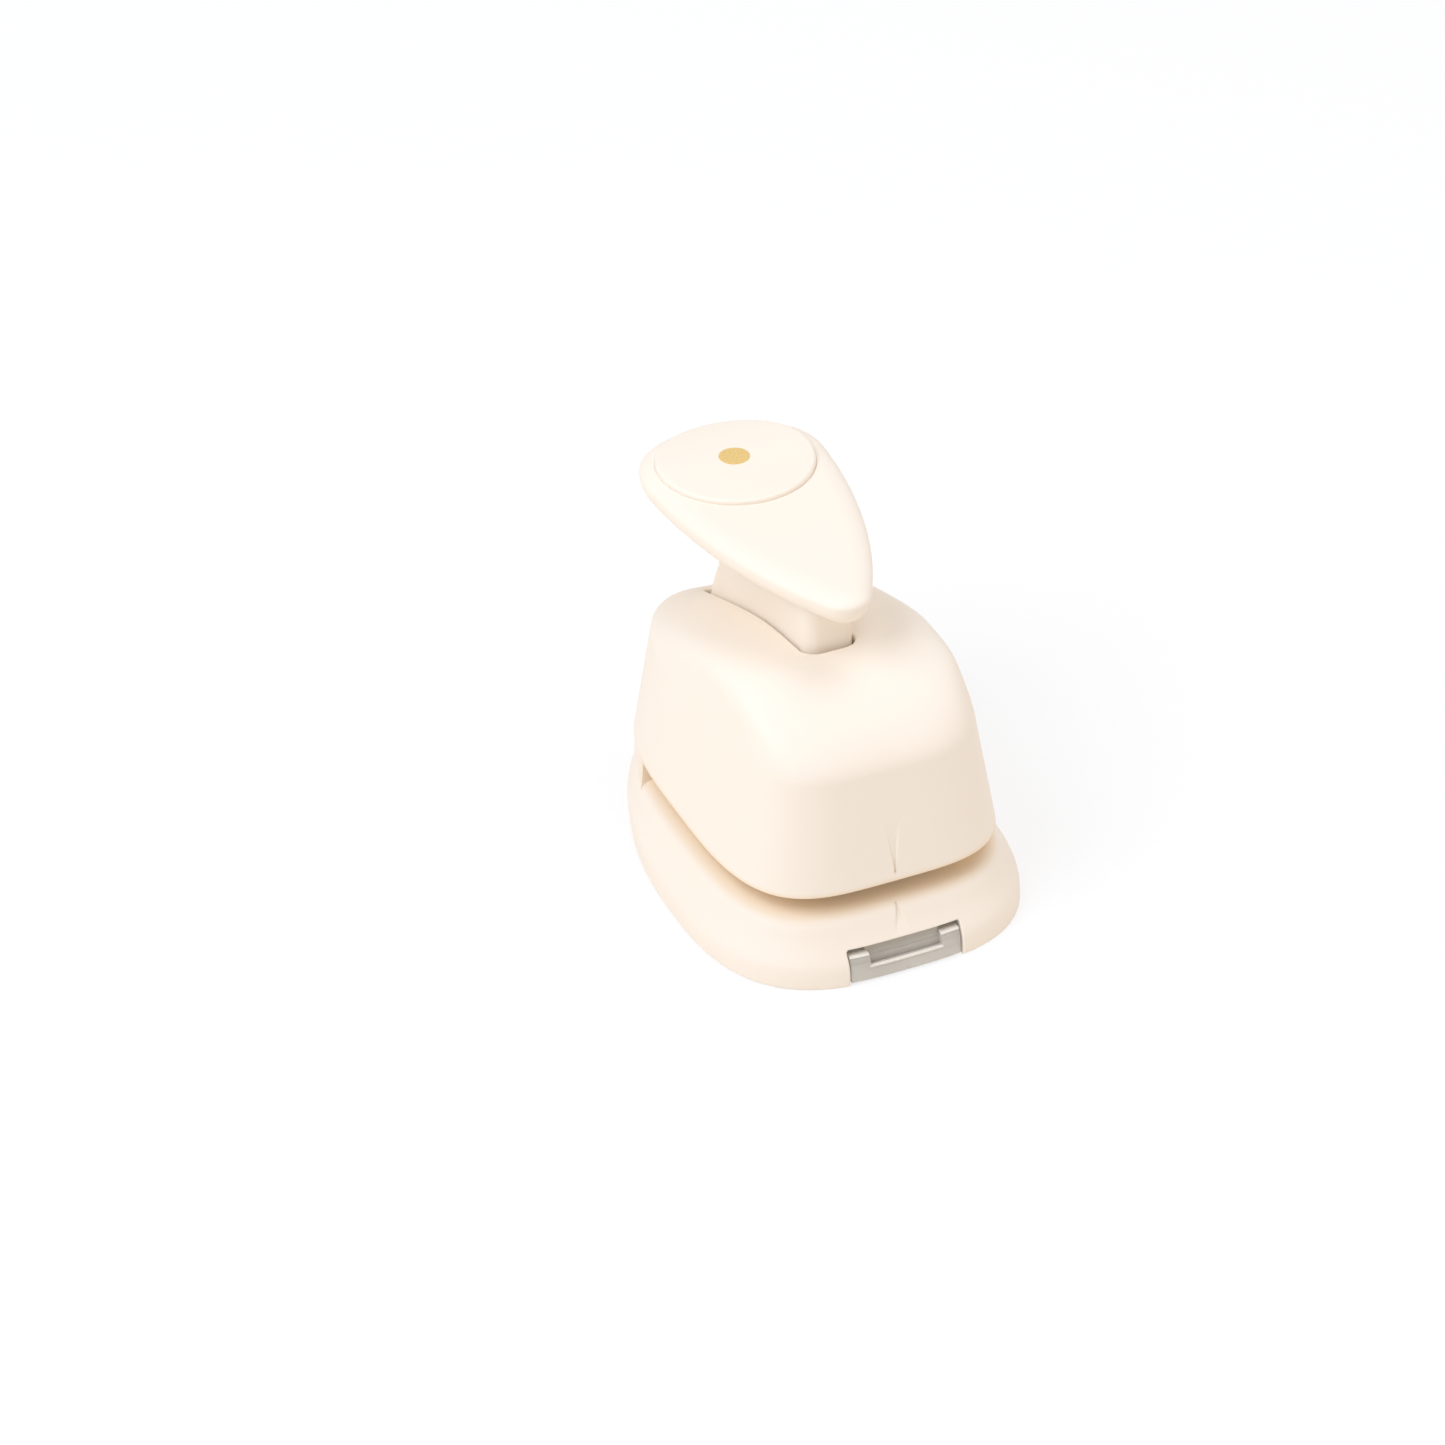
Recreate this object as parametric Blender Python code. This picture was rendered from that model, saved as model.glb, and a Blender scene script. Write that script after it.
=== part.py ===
"""Lever circle punch: a domed plastic housing with a paper throat, a sprung lever, a steel punch and die,
and a clear tray under it for the punched paper.

Metres, +Z up, front (the throat) towards -Y. The origin is under the middle of the whole punch, on the table.
"""

import math

import bmesh
import bpy
from mathutils import Matrix, Vector

# Driving sizes of the housing
BODY_WIDTH = 0.0680
BODY_LENGTH = 0.0920
BODY_HEIGHT = 0.0537
OVERALL_LENGTH = 0.0985
WALL = 0.0022
RIM_HEIGHT = 0.0046
DECK_HEIGHT = 0.0135
DECK_THICKNESS = 0.0020
LIP_HEIGHT = 0.0179
THROAT_DEPTH = 0.0610
STOP_WALL = 0.0020
FLOOR_THICKNESS = 0.0020

# How far the walls step or lean inwards from the base, by side, front and rear
LIP_INSET_SIDE = 0.0047
LIP_INSET_FRONT = 0.0063
LIP_INSET_REAR = 0.0059
LEAN_SIDE = 0.0074
LEAN_FRONT = 0.0062
LEAN_REAR = 0.0028
CROWN_DEPTH_SIDE = 0.0073
CROWN_DEPTH_FRONT = 0.0126
CROWN_DEPTH_REAR = 0.0156

# Distance from the front to the widest place of the plan, at the base, the lip and the crown
WIDEST_BASE = 0.0381
WIDEST_LIP = 0.0490
WIDEST_CROWN = 0.0335

# Powers of the superellipses that draw the plan and the rounding of the crown
FLARE_POWER = 2.2
FRONT_POWERS = (2.97, 3.86, 3.68)
REAR_POWERS = (2.03, 3.99)
CROWN_POWERS_SIDE = (4.8, 4.8)
CROWN_POWERS_FRONT = (1.9, 1.57)
CROWN_POWERS_REAR = (1.55, 1.24)

# Shares of the flare, walls and crown where the outer skin has a ring of points
FLARE_SHARES = (0.0, 0.18, 0.36, 0.54, 0.72, 0.88, 1.0)
WALL_SHARES = (0.2, 0.4, 0.6, 0.75, 0.88)
CROWN_SHARES = (0.0, 0.22, 0.42, 0.60, 0.74, 0.85, 0.93, 0.98)
INNER_SHARES = (0.0, 0.25, 0.5, 0.64, 0.76, 0.86, 0.93, 0.98)
CAVITY_SHARES = (0.0, 0.3, 0.6, 0.8, 1.0)
STOP_SHARES = (0.0, 0.35, 0.65, 0.85, 1.0)
TAB_SHARES = (0.0, 0.35, 0.6, 0.8, 1.0)

# Rounding from the apron to the deck of the throat: drop below the deck, and distance in from the outer skin
SHOULDER_STEPS = ((0.0036, -0.0003), (0.0018, 0.0002), (0.0008, 0.0010), (0.0002, 0.0023), (0.0, 0.0042))

# Front notch for the tray's finger tab
NOTCH_WIDTH = 0.0240
NOTCH_HEIGHT = 0.0070
NOTCH_DEPTH = 0.0080

# Clearances
SEAT_GAP = 0.0003
RUNNING_GAP = 0.0001
SLIDE_GAP = 0.0004
TRAY_GAP = 0.0004
OVERRUN = 0.0010
REACH = 0.0300

# Lever pivot and punch line, from the front of the base
PIVOT_WALL_GAP = 0.0003
PIVOT_HEIGHT = 0.0370
PUNCH_BACK = 0.0380

# Lever arm
ARM_WIDTH = 0.0106
BOSS_RADIUS = 0.0045
NOSE_RADIUS = 0.0030
ARM_FRONT = 0.0354
ARM_FRONT_LEAN = 0.0014
STOP_GAP = 0.0006
STOP_START = 0.0065
ARM_NECK = 0.0090
TAIL_BACK = 0.0828
TAIL_HEIGHT = 0.0300
REAR_ARC_DROP = 0.0170
GUSSET_START = 0.0480
GUSSET_REACH = 0.0012
GUSSET_LIP = 0.0015
ARM_EDGE_RADIUS = 0.0022
SLOT_GAP = 0.0004
SLOT_BOTTOM = 0.0290

# Lever cap, a teardrop with a round pad
CAP_ROUND_RADIUS = 0.0188
CAP_TIP_RADIUS = 0.0054
CAP_TIP_REACH = 0.0490
CAP_BULGE = 0.0028
CAP_THICKNESS = 0.0066
CAP_UPPER = 0.0019
CAP_EDGE = 0.0046
CAP_HEIGHT = 0.0692
CAP_TILT = math.radians(1.3)
CAP_ROOF = 0.0030
CAP_POCKET_INSET = 0.0048
CAP_SPINE = 0.0150
CAP_SPINE_TAIL = 0.0060
DISC_RADIUS = 0.0158
DISC_THICKNESS = 0.0022
DISC_PROUD = 0.0009
DISC_EDGE = 0.0007
CAP_SCREW_PITCH = 0.0070
CAP_SCREW_AHEAD = 0.0100

# Axle, its washers and its clips
AXLE_RADIUS = 0.0020
WASHER_RADIUS = 0.0042
WASHER_THICKNESS = 0.0008
CLIP_RADIUS = 0.0038
CLIP_THICKNESS = 0.0008
CLIP_MOUTH = 0.0024
EAR_THICKNESS = 0.0025
EAR_RADIUS = 0.0045
EAR_FOOT = 0.0120
AXLE_END = 0.0012

# Jaws, die, guide and punch
PAPER_GAP = 0.0020
UPPER_JAW_WIDTH = 0.0280
UPPER_JAW_FRONT = 0.0120
UPPER_JAW_THICKNESS = 0.0050
LEAD_IN = 0.0015
JAW_CORNER = 0.0040
JAW_OPENING_WIDTH = 0.0340
JAW_OPENING_FRONT = 0.0130
LOWER_JAW_THICKNESS = 0.0075
LOWER_JAW_ROOF = 0.0035
LOWER_JAW_WALL = 0.0025
FLANGE_WIDTH = 0.0500
FLANGE_THICKNESS = 0.0020
FLANGE_FRONT = 0.0155
FLANGE_BACK = 0.0545
DIE_SIZE = 0.0220
DIE_THICKNESS = 0.0020
DIE_CORNER = 0.0025
CHUTE_RADIUS = 0.0045
CHUTE_WALL = 0.0020
PUNCH_RADIUS = 0.0030
PUNCH_TIP_RECESS = 0.0004
PUNCH_NECK_RADIUS = 0.0017
PUNCH_NECK_LENGTH = 0.0015
HEAD_RADIUS = 0.0060
HEAD_THICKNESS = 0.0025
BUSH_RADIUS = 0.0048
BUSH_FLANGE_RADIUS = 0.0060
BUSH_FLANGE = 0.0008

# Return spring
SPRING_WIRE = 0.0007
SPRING_RADIUS = 0.0043
SPRING_TURNS = 4.5
SPRING_STEPS = 10

# Spacer and clamp screws between the jaws, behind the throat
SPACER_DEPTH = 0.0060
CLAMP_SPACING = 0.0180
CLAMP_RADIUS = 0.0015
CLAMP_HEAD_RADIUS = 0.0028
CLAMP_HEAD = 0.0020

# Screws that hold the lower jaw to posts under the deck
POST_RADIUS = 0.0034
POST_SPACING = 0.0430
POST_FRONT = 0.0200
POST_REAR = 0.0500
SCREW_RADIUS = 0.0011
SCREW_LENGTH = 0.0062
SCREW_HEAD_RADIUS = 0.0024
SCREW_HEAD = 0.0014
SCREW_SKIN = 0.0010
DRIVE_WIDTH = 0.0006
DRIVE_SHARE = 0.62
DRIVE_DEPTH_SHARE = 0.5

# Clear tray
TRAY_FLOOR = 0.0012
TRAY_WALL = 0.0012
TRAY_RIM_HEIGHT = 0.0046
TRAY_BACK = 0.0732
TRAY_SHELF = 0.0740
TONGUE_WIDTH = 0.0262
TONGUE_BACK = 0.0812
TONGUE_ROOM = 0.0013
TRAY_HINGE_BACK = 0.0780
TRAY_HINGE_HEIGHT = 0.0030
TRAY_PIN_RADIUS = 0.0010
TRAY_PIN_LENGTH = 0.0020
TRAY_KNUCKLE_RADIUS = 0.0020
TRAY_KNUCKLE_WIDTH = 0.0040
LUG_WIDTH = 0.0034
LUG_RADIUS = 0.0026
PIN_GAP = 0.0003
TAB_HEIGHT = 0.0062
TAB_SETBACK = 0.0006
TAB_THICKNESS = 0.0030
TAB_LUG_WIDTH = 0.0030
TAB_RECESS = 0.0014
TAB_RIDGE = 0.0010
TAB_NICK = 0.0012

# Mesh resolution
PLAN_POINTS = 64
INNER_POINTS = 48
ROUND_POINTS = 32
SMALL_POINTS = 16
ARC_STEPS = 6

# Lengths worked out from the driving sizes
FRONT_Y = -OVERALL_LENGTH / 2 - TAB_SETBACK
HALF_WIDTH = BODY_WIDTH / 2
CAP_REACH = CAP_ROUND_RADIUS * math.cos(CAP_TILT) - CAP_UPPER * math.sin(CAP_TILT)
CAP_CENTRE_BACK = OVERALL_LENGTH + TAB_SETBACK - CAP_REACH
GUSSET_BACK = CAP_CENTRE_BACK + GUSSET_REACH
LOWER_CAVITY_TOP = DECK_HEIGHT - DECK_THICKNESS
CEILING_TOP = LIP_HEIGHT + WALL
ROOF_HEIGHT = CEILING_TOP + (BODY_HEIGHT - WALL - CEILING_TOP) * INNER_SHARES[-1]
UPPER_JAW_BOTTOM = DECK_HEIGHT + PAPER_GAP
UPPER_JAW_TOP = UPPER_JAW_BOTTOM + UPPER_JAW_THICKNESS
LOWER_JAW_BOTTOM = DECK_HEIGHT - LOWER_JAW_THICKNESS
ARM_HALF = ARM_WIDTH / 2
EAR_INNER = ARM_HALF + WASHER_THICKNESS + 2 * SEAT_GAP
EAR_OUTER = EAR_INNER + EAR_THICKNESS
HEAD_TOP = PIVOT_HEIGHT - NOSE_RADIUS - SEAT_GAP
HEAD_BOTTOM = HEAD_TOP - HEAD_THICKNESS
CLAMP_BACK = THROAT_DEPTH - STOP_WALL - SPACER_DEPTH / 2


def back(distance):
    """Y of a place that lies this far behind the front of the base."""
    return FRONT_Y + distance


def clear_scene():
    for old in list(bpy.data.objects):
        bpy.data.objects.remove(old, do_unlink=True)


# Materials

def plastic(name, colour, roughness, alpha=1.0):
    material = bpy.data.materials.new(name)
    material.use_nodes = True
    shader = material.node_tree.nodes["Principled BSDF"]
    shader.inputs["Base Color"].default_value = (*colour, 1.0)
    shader.inputs["Roughness"].default_value = roughness
    shader.inputs["Alpha"].default_value = alpha
    return material


def metal(name, colour, roughness):
    material = plastic(name, colour, roughness)
    material.node_tree.nodes["Principled BSDF"].inputs["Metallic"].default_value = 1.0
    return material


# Building blocks

def new_object(name, mesh_builder, material=None, smooth=math.radians(30.0)):
    """Make an object from a bmesh, with its faces pointing out."""
    bmesh.ops.recalc_face_normals(mesh_builder, faces=mesh_builder.faces[:])
    mesh = bpy.data.meshes.new(name)
    mesh_builder.to_mesh(mesh)
    mesh_builder.free()
    mesh.shade_smooth()
    mesh.set_sharp_from_angle(angle=smooth)
    item = bpy.data.objects.new(name, mesh)
    bpy.context.scene.collection.objects.link(item)
    if material:
        mesh.materials.append(material)
    return item


def loft(name, rings, material=None):
    """Join rings of points, each with the same count, into one closed body."""
    builder = bmesh.new()
    rows = [[builder.verts.new(point) for point in ring] for ring in rings]
    count = len(rows[0])
    for lower, upper in zip(rows, rows[1:]):
        for i in range(count):
            j = (i + 1) % count
            builder.faces.new((lower[i], lower[j], upper[j], upper[i]))
    builder.faces.new(list(reversed(rows[0])))
    builder.faces.new(rows[-1])
    return new_object(name, builder, material)


def prism(name, outline, start, end, axis="Z", material=None):
    """Extrude a flat outline from start to end. Along X the outline is (y, z), along Z it is (x, y)."""
    def place(point, level):
        if axis == "X":
            return Vector((level, point[0], point[1]))
        return Vector((point[0], point[1], level))
    return loft(name, [[place(p, start) for p in outline], [place(p, end) for p in outline]], material)


def box(name, low, high, material=None):
    corners = ((low[0], low[1]), (high[0], low[1]), (high[0], high[1]), (low[0], high[1]))
    return prism(name, corners, low[2], high[2], "Z", material)


def turned(name, profile, centre, axis="Z", points=ROUND_POINTS, material=None):
    """Spin a profile of (radius, height) pairs round an axis through centre. Ends are flat."""
    rings = []
    for radius, height in profile:
        ring = []
        for i in range(points):
            angle = math.tau * (i + 0.5) / points
            across, up = radius * math.cos(angle), radius * math.sin(angle)
            offset = (height, across, up) if axis == "X" else (across, up, height)
            ring.append(Vector(centre) + Vector(offset))
        rings.append(ring)
    return loft(name, rings, material)


def drum(name, radius, start, end, centre, axis="Z", points=ROUND_POINTS, material=None):
    return turned(name, ((radius, start), (radius, end)), centre, axis, points, material)


def arc(centre, radius, start, end, steps=ARC_STEPS):
    """Points on a circle between two angles in degrees."""
    angles = [math.radians(start + (end - start) * i / steps) for i in range(steps + 1)]
    return [(centre[0] + radius * math.cos(a), centre[1] + radius * math.sin(a)) for a in angles]


def rounded_rectangle(left, right, front, rear, radius, steps=ARC_STEPS):
    corners = ((right, rear, 0), (left, rear, 90), (left, front, 180), (right, front, 270))
    points = []
    for x, y, start in corners:
        centre = (x - math.copysign(radius, x - (left + right) / 2),
                  y - math.copysign(radius, y - (front + rear) / 2))
        points += arc(centre, radius, start, start + 90, steps)
    return points


def combine(target, other, operation):
    """Cut another body from the target, or fuse it on, or keep what they share."""
    modifier = target.modifiers.new(operation.lower() + "_" + other.name, "BOOLEAN")
    modifier.operation = operation
    modifier.solver = "EXACT"
    modifier.object = other
    other.hide_render = True
    other.display_type = "WIRE"
    other.hide_set(True)


def cut(target, *cutters):
    for cutter in cutters:
        combine(target, cutter, "DIFFERENCE")


def fuse(target, *others):
    for other in others:
        combine(target, other, "UNION")


def soften(item, width, segments=2, angle=math.radians(35.0)):
    bevel = item.modifiers.new("soft_edges", "BEVEL")
    bevel.width = width
    bevel.segments = segments
    bevel.limit_method = "ANGLE"
    bevel.angle_limit = angle
    return item


def carry(item, axis_point, parent=None):
    """Move an object's origin to a point, leaving its shape in place, and parent it."""
    item.data.transform(Matrix.Translation(-Vector(axis_point)))
    item.location = axis_point
    if parent:
        item.parent = parent
        item.matrix_parent_inverse = parent.matrix_world.inverted()


# Shape of the housing

def mix(start, end, share):
    return start + (end - start) * share


def rounding(height, depth, powers, top):
    """Share of the way in to the crown that a wall has bent at this height."""
    share = min(max((height - (top - depth)) / depth, 0.0), 1.0)
    return 1.0 - (1.0 - share ** powers[0]) ** (1.0 / powers[1])


def plan(half_width, front, rear, widest, front_power, rear_power, count):
    """Egg-shaped outline, a superellipse in front of its widest place and another behind it."""
    points = []
    for i in range(count):
        angle = math.tau * i / count
        across, along = math.cos(angle), math.sin(angle)
        power = front_power if along < 0 else rear_power
        end = widest - front if along < 0 else rear - widest
        x = half_width * math.copysign(abs(across) ** (2.0 / power), across)
        y = end * math.copysign(abs(along) ** (2.0 / power), along)
        points.append((x, back(widest + y)))
    return points


def skin_outline(height, inset=0.0, count=PLAN_POINTS, top=BODY_HEIGHT):
    """Outline of the housing's outer skin at a height, moved inwards by inset."""
    flare_share = min(max((height - RIM_HEIGHT) / (LIP_HEIGHT - RIM_HEIGHT), 0.0), 1.0)
    flare = 1.0 - (1.0 - flare_share) ** FLARE_POWER
    rise = min(max((height - LIP_HEIGHT) / (top - LIP_HEIGHT), 0.0), 1.0)
    widest = mix(mix(WIDEST_BASE, WIDEST_LIP, flare), WIDEST_CROWN, rise)
    front_power = mix(mix(FRONT_POWERS[0], FRONT_POWERS[1], flare), FRONT_POWERS[2], rise)
    rear_power = mix(REAR_POWERS[0], REAR_POWERS[1], height / top)
    half = HALF_WIDTH - LIP_INSET_SIDE * flare - LEAN_SIDE * rise - inset
    front = LIP_INSET_FRONT * flare + LEAN_FRONT * rise + inset
    rear = BODY_LENGTH - LIP_INSET_REAR * flare - LEAN_REAR * rise - inset
    half *= 1.0 - rounding(height, CROWN_DEPTH_SIDE, CROWN_POWERS_SIDE, top)
    front = mix(front, widest, rounding(height, CROWN_DEPTH_FRONT, CROWN_POWERS_FRONT, top))
    rear = mix(rear, widest, rounding(height, CROWN_DEPTH_REAR, CROWN_POWERS_REAR, top))
    return plan(half, front, rear, widest, front_power, rear_power, count)


def inner_front(height):
    """Y of the upper cavity's front wall at a height."""
    return min(y for x, y in skin_outline(height, WALL, INNER_POINTS, BODY_HEIGHT - WALL))


PIVOT_BACK = inner_front(PIVOT_HEIGHT + BOSS_RADIUS) - FRONT_Y + BOSS_RADIUS + PIVOT_WALL_GAP


def level(outline, height):
    return [Vector((x, y, height)) for x, y in outline]


def outer_heights():
    flare = [mix(RIM_HEIGHT, LIP_HEIGHT, share) for share in FLARE_SHARES]
    crown_start = BODY_HEIGHT - CROWN_DEPTH_REAR
    wall = [mix(LIP_HEIGHT, crown_start, share) for share in WALL_SHARES]
    crown = [mix(crown_start, BODY_HEIGHT, share) for share in CROWN_SHARES]
    return [0.0] + flare + wall + crown


def inner_rings():
    """Rings of the upper cavity: the outer skin with its crown lowered and its walls moved in."""
    bottom = CEILING_TOP
    top = BODY_HEIGHT - WALL
    return [level(skin_outline(mix(bottom, top, share), WALL, INNER_POINTS, top), mix(bottom, top, share))
            for share in INNER_SHARES]


def cavity_rings(low, high):
    return [level(skin_outline(mix(low, high, share), WALL, INNER_POINTS), mix(low, high, share))
            for share in CAVITY_SHARES]


def throat_cutter():
    """Room between the apron and the lip, open at the front and both sides."""
    outside = skin_outline(0.0, -REACH / 2)
    rings = [level(outside, LIP_HEIGHT), level(outside, RIM_HEIGHT)]
    for drop, inset in SHOULDER_STEPS:
        rings.append(level(skin_outline(DECK_HEIGHT - drop, inset), DECK_HEIGHT - drop))
    room = loft("throat_cutter", rings)
    combine(room, box("throat_limit", (-BODY_WIDTH, FRONT_Y - REACH, 0.0),
                      (BODY_WIDTH, back(THROAT_DEPTH), BODY_HEIGHT)), "INTERSECT")
    return room


def cream_housing(material):
    housing = loft("housing", [level(skin_outline(z), z) for z in outer_heights()], material)
    cut(housing, loft("upper_cavity_cutter", inner_rings()))
    cut(housing, loft("lower_cavity_cutter", cavity_rings(FLOOR_THICKNESS, LOWER_CAVITY_TOP)))
    cut(housing, rear_well_cutter(), throat_cutter(), tray_opening_cutter())
    half_opening = JAW_OPENING_WIDTH / 2
    opening = rounded_rectangle(-half_opening, half_opening, back(JAW_OPENING_FRONT),
                                back(THROAT_DEPTH - SEAT_GAP), JAW_CORNER)
    cut(housing, prism("jaw_opening_cutter", opening, LOWER_CAVITY_TOP - OVERRUN, DECK_HEIGHT + OVERRUN))
    half_opening = UPPER_JAW_WIDTH / 2 + SLIDE_GAP
    opening = rounded_rectangle(-half_opening, half_opening, back(UPPER_JAW_FRONT - SLIDE_GAP),
                                back(THROAT_DEPTH - SEAT_GAP), JAW_CORNER)
    cut(housing, prism("ceiling_opening_cutter", opening, LIP_HEIGHT - OVERRUN, CEILING_TOP + OVERRUN))
    cut(housing, lever_slot_cutter())
    cut(housing, box("notch_cutter", (-NOTCH_WIDTH / 2, FRONT_Y - OVERRUN, -OVERRUN),
                     (NOTCH_WIDTH / 2, back(NOTCH_DEPTH), NOTCH_HEIGHT)))
    for x, y, label in post_places():
        fuse(housing, post(x, y, label))
        cut(housing, drum("pilot_" + label, SCREW_RADIUS + RUNNING_GAP, -OVERRUN,
                          DECK_HEIGHT - SCREW_SKIN, (x, y, 0.0), points=SMALL_POINTS))
    for side, label in ((-1, "left"), (1, "right")):
        fuse(housing, tray_lug(side, label))
        cut(housing, tray_lug_bore(side, label))
    return housing


def rear_well_cutter():
    """Room behind the throat that joins the upper and the lower cavity."""
    well = loft("rear_well_cutter", cavity_rings(LOWER_CAVITY_TOP - OVERRUN, CEILING_TOP + OVERRUN))
    combine(well, box("well_limit", (-BODY_WIDTH, back(THROAT_DEPTH + STOP_WALL), 0.0),
                      (BODY_WIDTH, back(BODY_LENGTH), BODY_HEIGHT)), "INTERSECT")
    return well


def tray_opening_cutter():
    """Opening in the bottom for the tray: the base's inner outline, with a tongue behind it."""
    outline = [(x, min(y, back(TRAY_SHELF))) for x, y in skin_outline(0.0, WALL, INNER_POINTS)]
    opening = prism("tray_opening_cutter", outline, -OVERRUN, FLOOR_THICKNESS + OVERRUN)
    half = TONGUE_WIDTH / 2 + TRAY_GAP
    fuse(opening, box("tongue_cutter", (-half, back(TRAY_SHELF - NOTCH_DEPTH), -OVERRUN),
                      (half, back(TONGUE_BACK + TONGUE_ROOM), FLOOR_THICKNESS + OVERRUN)))
    return opening


def lever_slot_cutter():
    half = ARM_HALF + SLOT_GAP
    corner = ARM_EDGE_RADIUS
    front, rear = back(ARM_FRONT - SLOT_GAP), back(TAIL_BACK)
    outline = arc((corner - half, front + corner), corner, 180, 270)
    outline += arc((half - corner, front + corner), corner, 270, 360) + [(half, rear), (-half, rear)]
    return prism("lever_slot_cutter", outline, SLOT_BOTTOM, BODY_HEIGHT + OVERRUN)


def post_places():
    for x, side in ((-POST_SPACING / 2, "left"), (POST_SPACING / 2, "right")):
        for y, end in ((POST_FRONT, "front"), (POST_REAR, "rear")):
            yield x, back(y), end + "_" + side


def post(x, y, label):
    """Post under the deck that a screw of the lower jaw bites into."""
    start = LOWER_JAW_BOTTOM + FLANGE_THICKNESS + SEAT_GAP
    return drum("post_" + label, POST_RADIUS, start, LOWER_CAVITY_TOP + DECK_THICKNESS / 2, (x, y, 0.0),
                points=SMALL_POINTS)


def tray_lug(side, label):
    """Ear on the bottom of the housing that holds one hinge pin of the tray."""
    inner = TONGUE_WIDTH / 2 + TRAY_GAP
    base = (back(TRAY_HINGE_BACK), TRAY_HINGE_HEIGHT)
    outline = [(base[0] + LUG_RADIUS, FLOOR_THICKNESS / 2)] + arc(base, LUG_RADIUS, 0, 180)
    outline.append((base[0] - LUG_RADIUS, FLOOR_THICKNESS / 2))
    return prism("tray_lug_" + label, outline, side * inner, side * (inner + LUG_WIDTH), "X")


def tray_lug_bore(side, label):
    inner = TONGUE_WIDTH / 2 + TRAY_GAP
    ends = sorted((side * (inner - OVERRUN), side * (inner + TRAY_PIN_LENGTH + PIN_GAP)))
    return drum("tray_lug_bore_" + label, TRAY_PIN_RADIUS + PIN_GAP, ends[0], ends[1],
                (0.0, back(TRAY_HINGE_BACK), TRAY_HINGE_HEIGHT), "X", SMALL_POINTS)


# Lever

def cap_plane(distance):
    """Height of the cap's flat top above a place that lies this far behind the front of the base."""
    return CAP_HEIGHT + (CAP_CENTRE_BACK - distance) * math.tan(CAP_TILT)


def rear_arc():
    """Rear edge of the arm, from its gusset down to its tail."""
    centre = (back(PIVOT_BACK), PIVOT_HEIGHT - REAR_ARC_DROP)
    radius = math.hypot(TAIL_BACK - SLOT_GAP - PIVOT_BACK, TAIL_HEIGHT - centre[1])
    angles = [math.degrees(math.asin((z - centre[1]) / radius)) for z in (GUSSET_START, TAIL_HEIGHT)]
    return arc(centre, radius, *angles)


def arm_outline():
    """Side view of the arm's lower part: pivot boss, upward stop, tail and the nose that pushes the punch."""
    pivot = (back(PIVOT_BACK), PIVOT_HEIGHT)
    points = arc(pivot, BOSS_RADIUS, 260, 130)
    for share in STOP_SHARES:
        height = mix(PIVOT_HEIGHT + STOP_START, ROOF_HEIGHT, share)
        points.append((inner_front(height) + STOP_GAP, height - STOP_GAP))
    points.append((back(ARM_FRONT + 2 * ARM_EDGE_RADIUS), ROOF_HEIGHT - STOP_GAP))
    points += rear_arc()
    points.append((back(PUNCH_BACK + ARM_NECK), PIVOT_HEIGHT))
    points += arc((back(PUNCH_BACK), PIVOT_HEIGHT), NOSE_RADIUS, 310, 215)
    return points


def stem_outline():
    """Side view of the arm's upper part, which stands up through the slot to the cap."""
    ends = ARM_FRONT + ARM_FRONT_LEAN, GUSSET_BACK
    front, rear = [cap_plane(place) - CAP_THICKNESS - SEAT_GAP for place in ends]
    foot = GUSSET_START - ARM_EDGE_RADIUS
    points = [(back(ARM_FRONT), foot), (back(ends[0]), front), (back(ends[1]), rear)]
    start = rear_arc()[0]
    for i in reversed(range(ARC_STEPS + 1)):
        angle = math.pi / 2 * i / ARC_STEPS
        points.append((mix(start[0], back(GUSSET_BACK), 1.0 - math.cos(angle)),
                       mix(start[1], rear - GUSSET_LIP, math.sin(angle))))
    return points + [(back(TAIL_BACK - ARM_NECK), foot)]


def lever_arm(material):
    arm = prism("lever_arm", arm_outline(), -ARM_HALF, ARM_HALF, "X", material)
    stem = prism("arm_stem", stem_outline(), -ARM_HALF, ARM_HALF, "X")
    builder = bmesh.new()
    builder.from_mesh(stem.data)
    front_edges = [edge for edge in builder.edges
                   if all(corner.co.y < back(PUNCH_BACK) for corner in edge.verts)
                   and abs(edge.verts[0].co.z - edge.verts[1].co.z) > WALL]
    bmesh.ops.bevel(builder, geom=front_edges, offset=ARM_EDGE_RADIUS, segments=4, profile=0.5,
                    affect="EDGES")
    builder.to_mesh(stem.data)
    builder.free()
    fuse(arm, stem)
    cut(arm, drum("arm_bore", AXLE_RADIUS + RUNNING_GAP, -ARM_WIDTH, ARM_WIDTH,
                  (0.0, back(PIVOT_BACK), PIVOT_HEIGHT), "X", ROUND_POINTS))
    for place, label in cap_screw_places():
        cut(arm, tilted(drum("arm_pilot_" + label, SCREW_RADIUS + RUNNING_GAP,
                             -CAP_THICKNESS - SCREW_LENGTH - OVERRUN, OVERRUN, (0.0, place, 0.0),
                             points=SMALL_POINTS)))
    return arm


def teardrop(inset):
    """Outline of the cap round its pad's centre: circles that shrink from the round end to the tip."""
    points = []
    spread = CAP_ROUND_RADIUS - CAP_TIP_RADIUS
    for i in range(PLAN_POINTS):
        angle = math.tau * i / PLAN_POINTS
        normal = Vector((math.cos(angle), math.sin(angle)))
        share = (4 * CAP_BULGE - spread - CAP_TIP_REACH * normal.y) / (8 * CAP_BULGE)
        share = min(max(share, 0.0), 1.0)
        radius = CAP_ROUND_RADIUS - spread * share + 4 * CAP_BULGE * share * (1.0 - share) - inset
        points.append((normal.x * radius, normal.y * radius - CAP_TIP_REACH * share))
    return points


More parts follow.
